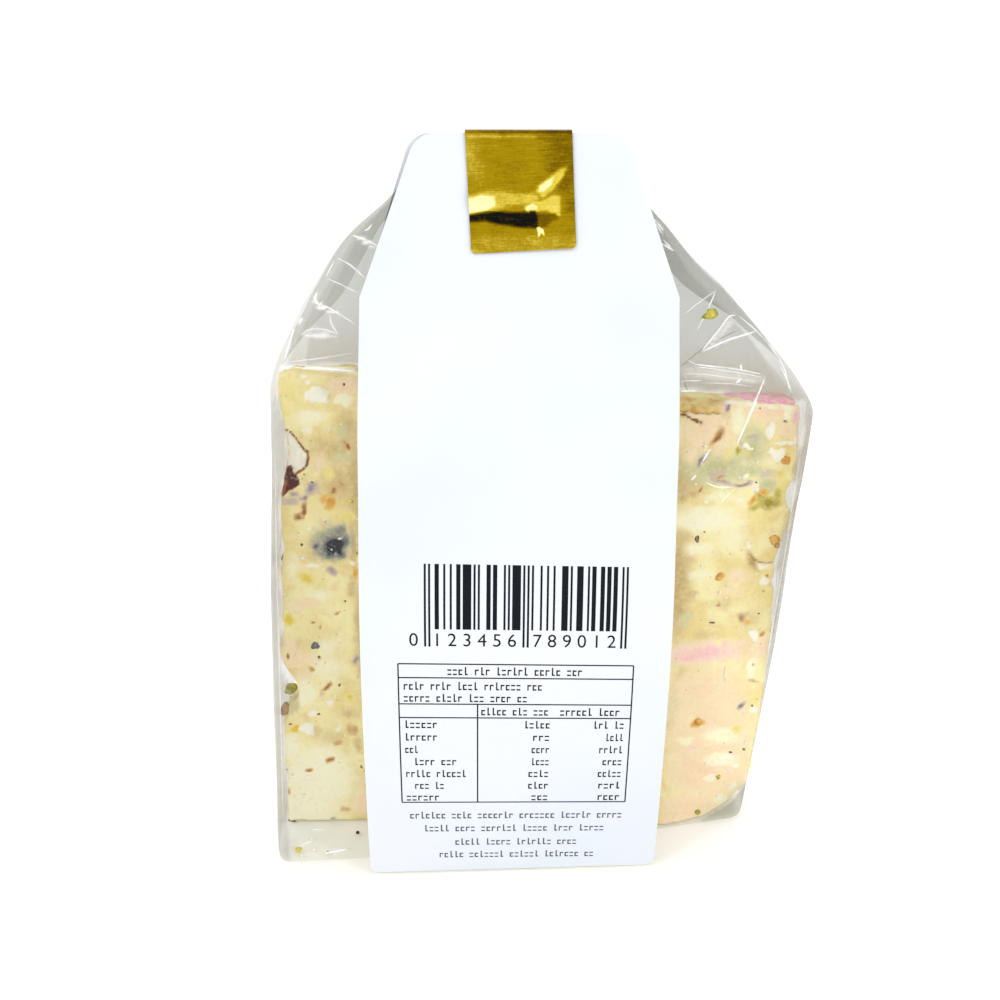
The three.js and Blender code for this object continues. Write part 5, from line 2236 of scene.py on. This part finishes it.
@dataclass(frozen=True)
class Seal:
    """The gold foil strip over both top edges, pressed down by hand.

    The creases are laid in order, by (across, 2.3 x down) on the near side; their light and shade are painted
    in the foil's colour.
    """

    width: float = 21.6
    leg: float = 22.9
    corner: float = 1.0
    thickness: float = 0.2
    fold: float = 0.9
    slant: float = 0.05
    centre: float = -4.6
    gap: float = 0.3
    columns: int = 120
    rows: int = 130
    corner_rows: int = 6
    over_rows: int = 14
    ridge_height: float = 0.5
    hollow_depth: float = 0.12
    pleat_height: float = 0.3
    dimple_height: float = 0.16
    # painted light levels of the plain foil, on the near side and on the far side
    plain_painted_light: float = 0.47
    far_painted_light: float = 0.52
    creases: tuple[FoilCrease, ...] = (
        FoilCrease(((-0.95, 0.05), (0.35, 0.06), (0.35, 0.1), (-0.95, 0.1)), 0.06, 0.8, tone=0.72),
        FoilCrease(((0.3, 0.09), (0.95, 0.13), (0.95, 0.16), (0.3, 0.12)), 0.04, 0.7, tone=0.3),
        FoilCrease((
            (-1.05, 1.25), (-0.7, 1.14), (-0.3, 1.14), (0.3, 1.2), (0.36, 1.42), (-0.2, 1.42), (-0.5, 1.5),
            (-1.05, 1.62),
        ), 0.14, 1.0, tone=0.68),
        FoilCrease((
            (-1.05, 1.3), (-0.75, 1.22), (-0.5, 1.25), (-0.5, 1.42), (-0.7, 1.52), (-1.05, 1.6),
        ), 0.08, 1.0, tone=1.0),
        FoilCrease(((0.05, 1.46), (0.2, 1.38), (0.3, 1.44), (0.3, 1.54), (0.1, 1.54)), 0.06, 1.0, tone=0.98),
        FoilCrease((
            (0.3, 1.38), (0.62, 1.22), (0.74, 1.24), (0.72, 1.62), (0.58, 1.7), (0.5, 1.52), (0.3, 1.54),
        ), 0.09, 0.9, tone=0.8),
        FoilCrease((
            (0.88, 0.66), (0.74, 0.7), (0.52, 0.86), (0.36, 1), (0.28, 1.12), (0.4, 1.28), (0.62, 1.1),
            (0.78, 0.88),
        ), 0.1, 1.0, tone=0.74),
        FoilCrease((
            (0.64, 0.84), (0.5, 0.92), (0.36, 1.03), (0.32, 1.16), (0.44, 1.14), (0.58, 0.98),
        ), 0.05, 1.0, tone=1.0),
        FoilCrease(((0.78, 1.1), (1.05, 0.9), (1.05, 1.6), (0.8, 1.6)), 0.3, 0.7, tone=0.34),
        FoilCrease(((0.3, 1.58), (0.62, 1.58), (0.7, 1.68), (0.34, 1.87)), 0.07, 1.0, tone=0.28),
        FoilCrease((
            (-1.1, 1.63), (-0.72, 1.56), (-0.4, 1.53), (0.24, 1.54), (0.3, 1.62), (0.31, 1.85), (0.24, 1.87),
            (-0.06, 1.86), (-0.4, 1.8), (-0.72, 1.74), (-1.1, 1.76),
        ), 0.09, 1.0, tone=0.02),
        FoilCrease((
            (0.26, 1.86), (0.31, 1.84), (0.39, 1.9), (0.4, 2.02), (0.34, 1.96), (0.29, 2.06), (0.28, 1.95),
        ), 0.03, 1.0, tone=1.05),
    )

    def _leg(self, card: Card, down: np.ndarray) -> tuple[np.ndarray, np.ndarray]:
        """Points and normals on one card's side, down from the top edge."""
        height = card.top - down
        lift = card.thickness / 2 + self.gap + self.thickness / 2
        return card.point(height, 0 * height, lift), card.normal(height)

    def _line(self, along: np.ndarray) -> tuple[np.ndarray, np.ndarray]:
        """The strip's middle line: up the printed card, over the edges and down the other."""
        near, near_normal = self._leg(PRINTED, np.maximum(-along - self.fold, 0))
        far, far_normal = self._leg(PLAIN, np.maximum(along - self.fold, 0))
        a, b = (self._leg(card, np.array(0.0))[0] for card in (PRINTED, PLAIN))
        angle = (self.fold - np.clip(along, -self.fold, self.fold)) / self.fold * (np.pi / 2)
        reach = (b[1] - a[1]) / 2
        rise = self.gap + self.thickness
        over = np.stack(
            [
                0 * angle,
                (a[1] + b[1]) / 2 + reach * np.cos(angle),
                (a[2] + b[2]) / 2 + rise * np.sin(angle),
            ],
            -1,
        )
        over_normal = np.stack([0 * angle, np.cos(angle) / reach, np.sin(angle) / rise], -1)
        over_normal /= np.linalg.norm(over_normal, axis=-1, keepdims=True)
        is_near = (along <= -self.fold)[..., None]
        is_far = (along >= self.fold)[..., None]
        point = np.where(is_near, near, np.where(is_far, far, over))
        normal = np.where(is_near, near_normal, np.where(is_far, far_normal, over_normal))
        return point, normal

    def _press(self, across: np.ndarray, down: np.ndarray) -> np.ndarray:
        """How far the creased foil stands off the card, by place on the near side.

        across runs from -1 to 1 and down from 0 at the top edge to 1 at the bottom.
        """
        ridge = 0.62 + 0.03 * np.sin(3 * across) + 0.05 * across
        above = np.exp(-(((down - ridge) / 0.085) ** 2)) * soft_step(1.0, 0.35, across)
        hollow = np.exp(-(((down - ridge - 0.12) / 0.05) ** 2)) * soft_step(0.35, 0.1, across)
        diagonal = np.abs((across - 0.62) + 1.9 * (down - 0.36)) / 2.15
        pleat = np.exp(-((diagonal / 0.07) ** 2)) * soft_step(0.24, 0.34, down)
        pleat *= soft_step(0.68, 0.56, down)
        dimple = np.exp(-(((across - 0.36) / 0.05) ** 2) - ((down - 0.87) / 0.04) ** 2)
        raised = self.pleat_height * pleat
        lift = self.ridge_height * above - self.hollow_depth * hollow
        return lift + raised + self.dimple_height * dimple

    def _painted_light(self, across: np.ndarray, down: np.ndarray, near: np.ndarray) -> np.ndarray:
        """The painted light and shade of the foil's colour, from 0 (painted shadow) to 1 (painted highlight),
        by the same places as _press.
        """
        places = np.stack(np.broadcast_arrays(across, 2.3 * down), -1)
        # painted light: a brighter band high on the left, a darker field high on the right, a dark line along
        # the top edge and a lighter foot
        shade = self.plain_painted_light + 0.12 * soft_step(-0.55, -0.95, across) * soft_step(0.5, 0.3, down)
        shade = shade - 0.13 * soft_step(0.25, 0.75, across) * soft_step(0.56, 0.4, down)
        shade = shade - 0.16 * soft_step(0.014, 0.0, down)
        shade = shade + 0.1 * soft_step(0.84, 0.9, down)
        for crease in self.creases:
            cover = crease.cover(places)
            shade = shade * (1 - cover) + crease.tone * cover
        return np.where(near, shade, self.far_painted_light)

    def build(self) -> bpy.types.Object:
        """The seal.

        Returns:
            The piece that stands for the solid seal.
        """
        reach = self.leg + self.fold
        turns = np.linspace(0, np.pi / 2, self.corner_rows)[:-1]
        corner = reach - self.corner * (1 - np.cos(turns))
        straight = np.linspace(reach - self.corner, self.fold, self.rows)
        over = np.linspace(-self.fold, self.fold, self.over_rows)[1:-1]
        along = np.concatenate([-corner, -straight, over, straight[::-1], corner[::-1]])
        short = np.maximum(self.corner - (reach - np.abs(along)), 0)
        loss = self.corner - np.sqrt(self.corner**2 - short**2)
        half = (self.width / 2 - loss)[:, None]
        shares = np.linspace(-1, 1, self.columns + 1)[None, :]
        across = half * shares
        shifted = along[:, None] + self.slant * across
        point, normal = self._line(shifted)
        point[..., 0] = self.centre - self.slant * along[:, None] + across
        down = np.clip((-shifted - self.fold) / self.leg, 0, 1)
        near = soft_step(0.03, 0.1, down)
        lift = near * np.clip(self._press(shares + 0 * down, down), 0, 1)
        ripple = grain(point, 4.2, 8.0) * 0.05 + grain(point, 1.5, 2.0) * 0.015
        free = soft_step(0.02, 0.12, np.abs(down) + (shifted > self.fold))
        point = point + normal * (lift + free * (ripple + 0.02) + self.thickness / 2)[..., None]
        # painted light and shade in the foil's colour
        shade = self._painted_light(shares + 0 * down, down, shifted <= self.fold)
        bm = bmesh.new()
        add_painted(bm, point, {"shade": shade})
        bmesh.ops.solidify(bm, geom=bm.faces[:], thickness=self.thickness)
        bmesh.ops.recalc_face_normals(bm, faces=bm.faces[:])
        piece = settle(bm, "gold_seal", FoilFinish().make(), ["seal"])
        piece.data.set_sharp_from_angle(angle=math.radians(50))
        return piece


# ---- The studio ----


@dataclass(frozen=True)
class Lamp:
    """A soft square light."""

    name: str
    place: tuple[float, float, float]
    size: float
    power: float
    aim: tuple[float, float, float] = (0.0, 0.0, 0.07)


@dataclass(frozen=True)
class Studio:
    """The floor, the light and the camera at the photograph's angle."""

    camera_place: tuple[float, float, float] = (-8.3, -235.4, 169.1)
    elevation: float = 20.0
    focal_share: float = 1.1  # focal length as a share of the picture's width
    sensor: float = 36.0
    sky: float = 1.05
    floor_reach: float = 60.0
    lamps: tuple[Lamp, ...] = (
        Lamp("key_light", (-0.5, -0.55, 0.8), 0.14, 1.5),
        Lamp("fill_light", (0.55, -0.55, 0.6), 0.14, 1.1),
        Lamp("back_light", (0.15, 0.7, 0.8), 0.16, 1.0),
    )

    def _floor(self) -> None:
        """A plain pale floor."""
        bm = bmesh.new()
        bmesh.ops.create_grid(bm, x_segments=8, y_segments=8, size=self.floor_reach)
        bmesh.ops.translate(bm, vec=(0, 0, -0.0003), verts=bm.verts[:])
        mesh = bpy.data.meshes.new("floor")
        bm.to_mesh(mesh)
        bm.free()
        mesh.materials.append(FloorFinish().make())
        floor = bpy.data.objects.new("floor", mesh)
        bpy.context.scene.collection.objects.link(floor)
        floor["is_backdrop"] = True

    def _light(self, lamp: Lamp) -> None:
        """One lamp, aimed at the pack."""
        light = bpy.data.lights.new(lamp.name, "AREA")
        light.shape = "SQUARE"
        light.size = lamp.size
        light.energy = lamp.power
        holder = bpy.data.objects.new(lamp.name, light)
        way = Vector(lamp.aim) - Vector(lamp.place)
        holder.location = lamp.place
        holder.rotation_euler = way.to_track_quat("-Z", "Y").to_euler()
        bpy.context.scene.collection.objects.link(holder)

    def build(self) -> None:
        """Sets the stage."""
        scene = bpy.context.scene
        self._floor()
        for lamp in self.lamps:
            self._light(lamp)
        world = bpy.data.worlds.new("soft_room")
        world.use_nodes = True
        background = world.node_tree.nodes["Background"]
        background.inputs["Color"].default_value = (1.0, 1.0, 1.0, 1.0)
        background.inputs["Strength"].default_value = self.sky
        scene.world = world
        scene.view_settings.view_transform = "Standard"
        camera = bpy.data.cameras.new("camera")
        camera.sensor_width = self.sensor
        camera.lens = self.sensor * self.focal_share
        camera.clip_start = 0.01
        holder = bpy.data.objects.new("camera", camera)
        holder.location = Vector(self.camera_place) * MM
        holder.rotation_euler = (math.radians(90 - self.elevation), 0.0, 0.0)
        scene.collection.objects.link(holder)
        scene.camera = holder


def main() -> None:
    """Builds and dresses every piece."""
    logging.basicConfig(level=logging.INFO, format="%(name)s: %(message)s")
    slab = Slab()
    block = slab.build()
    faces = SlabFaces(slab, block)
    for bits in filling():
        bits.build(slab, faces)
    Marshmallow().build(slab)
    film = ClearBag().build(slab)
    Creases().build(film)
    card_finish = CardFinish().make()
    for card in (PRINTED, PLAIN):
        card.build(card_finish)
    Print().build()
    Seal().build()
    Studio().build()
    boxes = {"cad": CAD_BOX, "visual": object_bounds()}
    plain = {name: [list(map(float, corner)) for corner in box] for name, box in boxes.items()}
    log.info("sizes %s", plain)


if __name__ == "__main__":
    main()
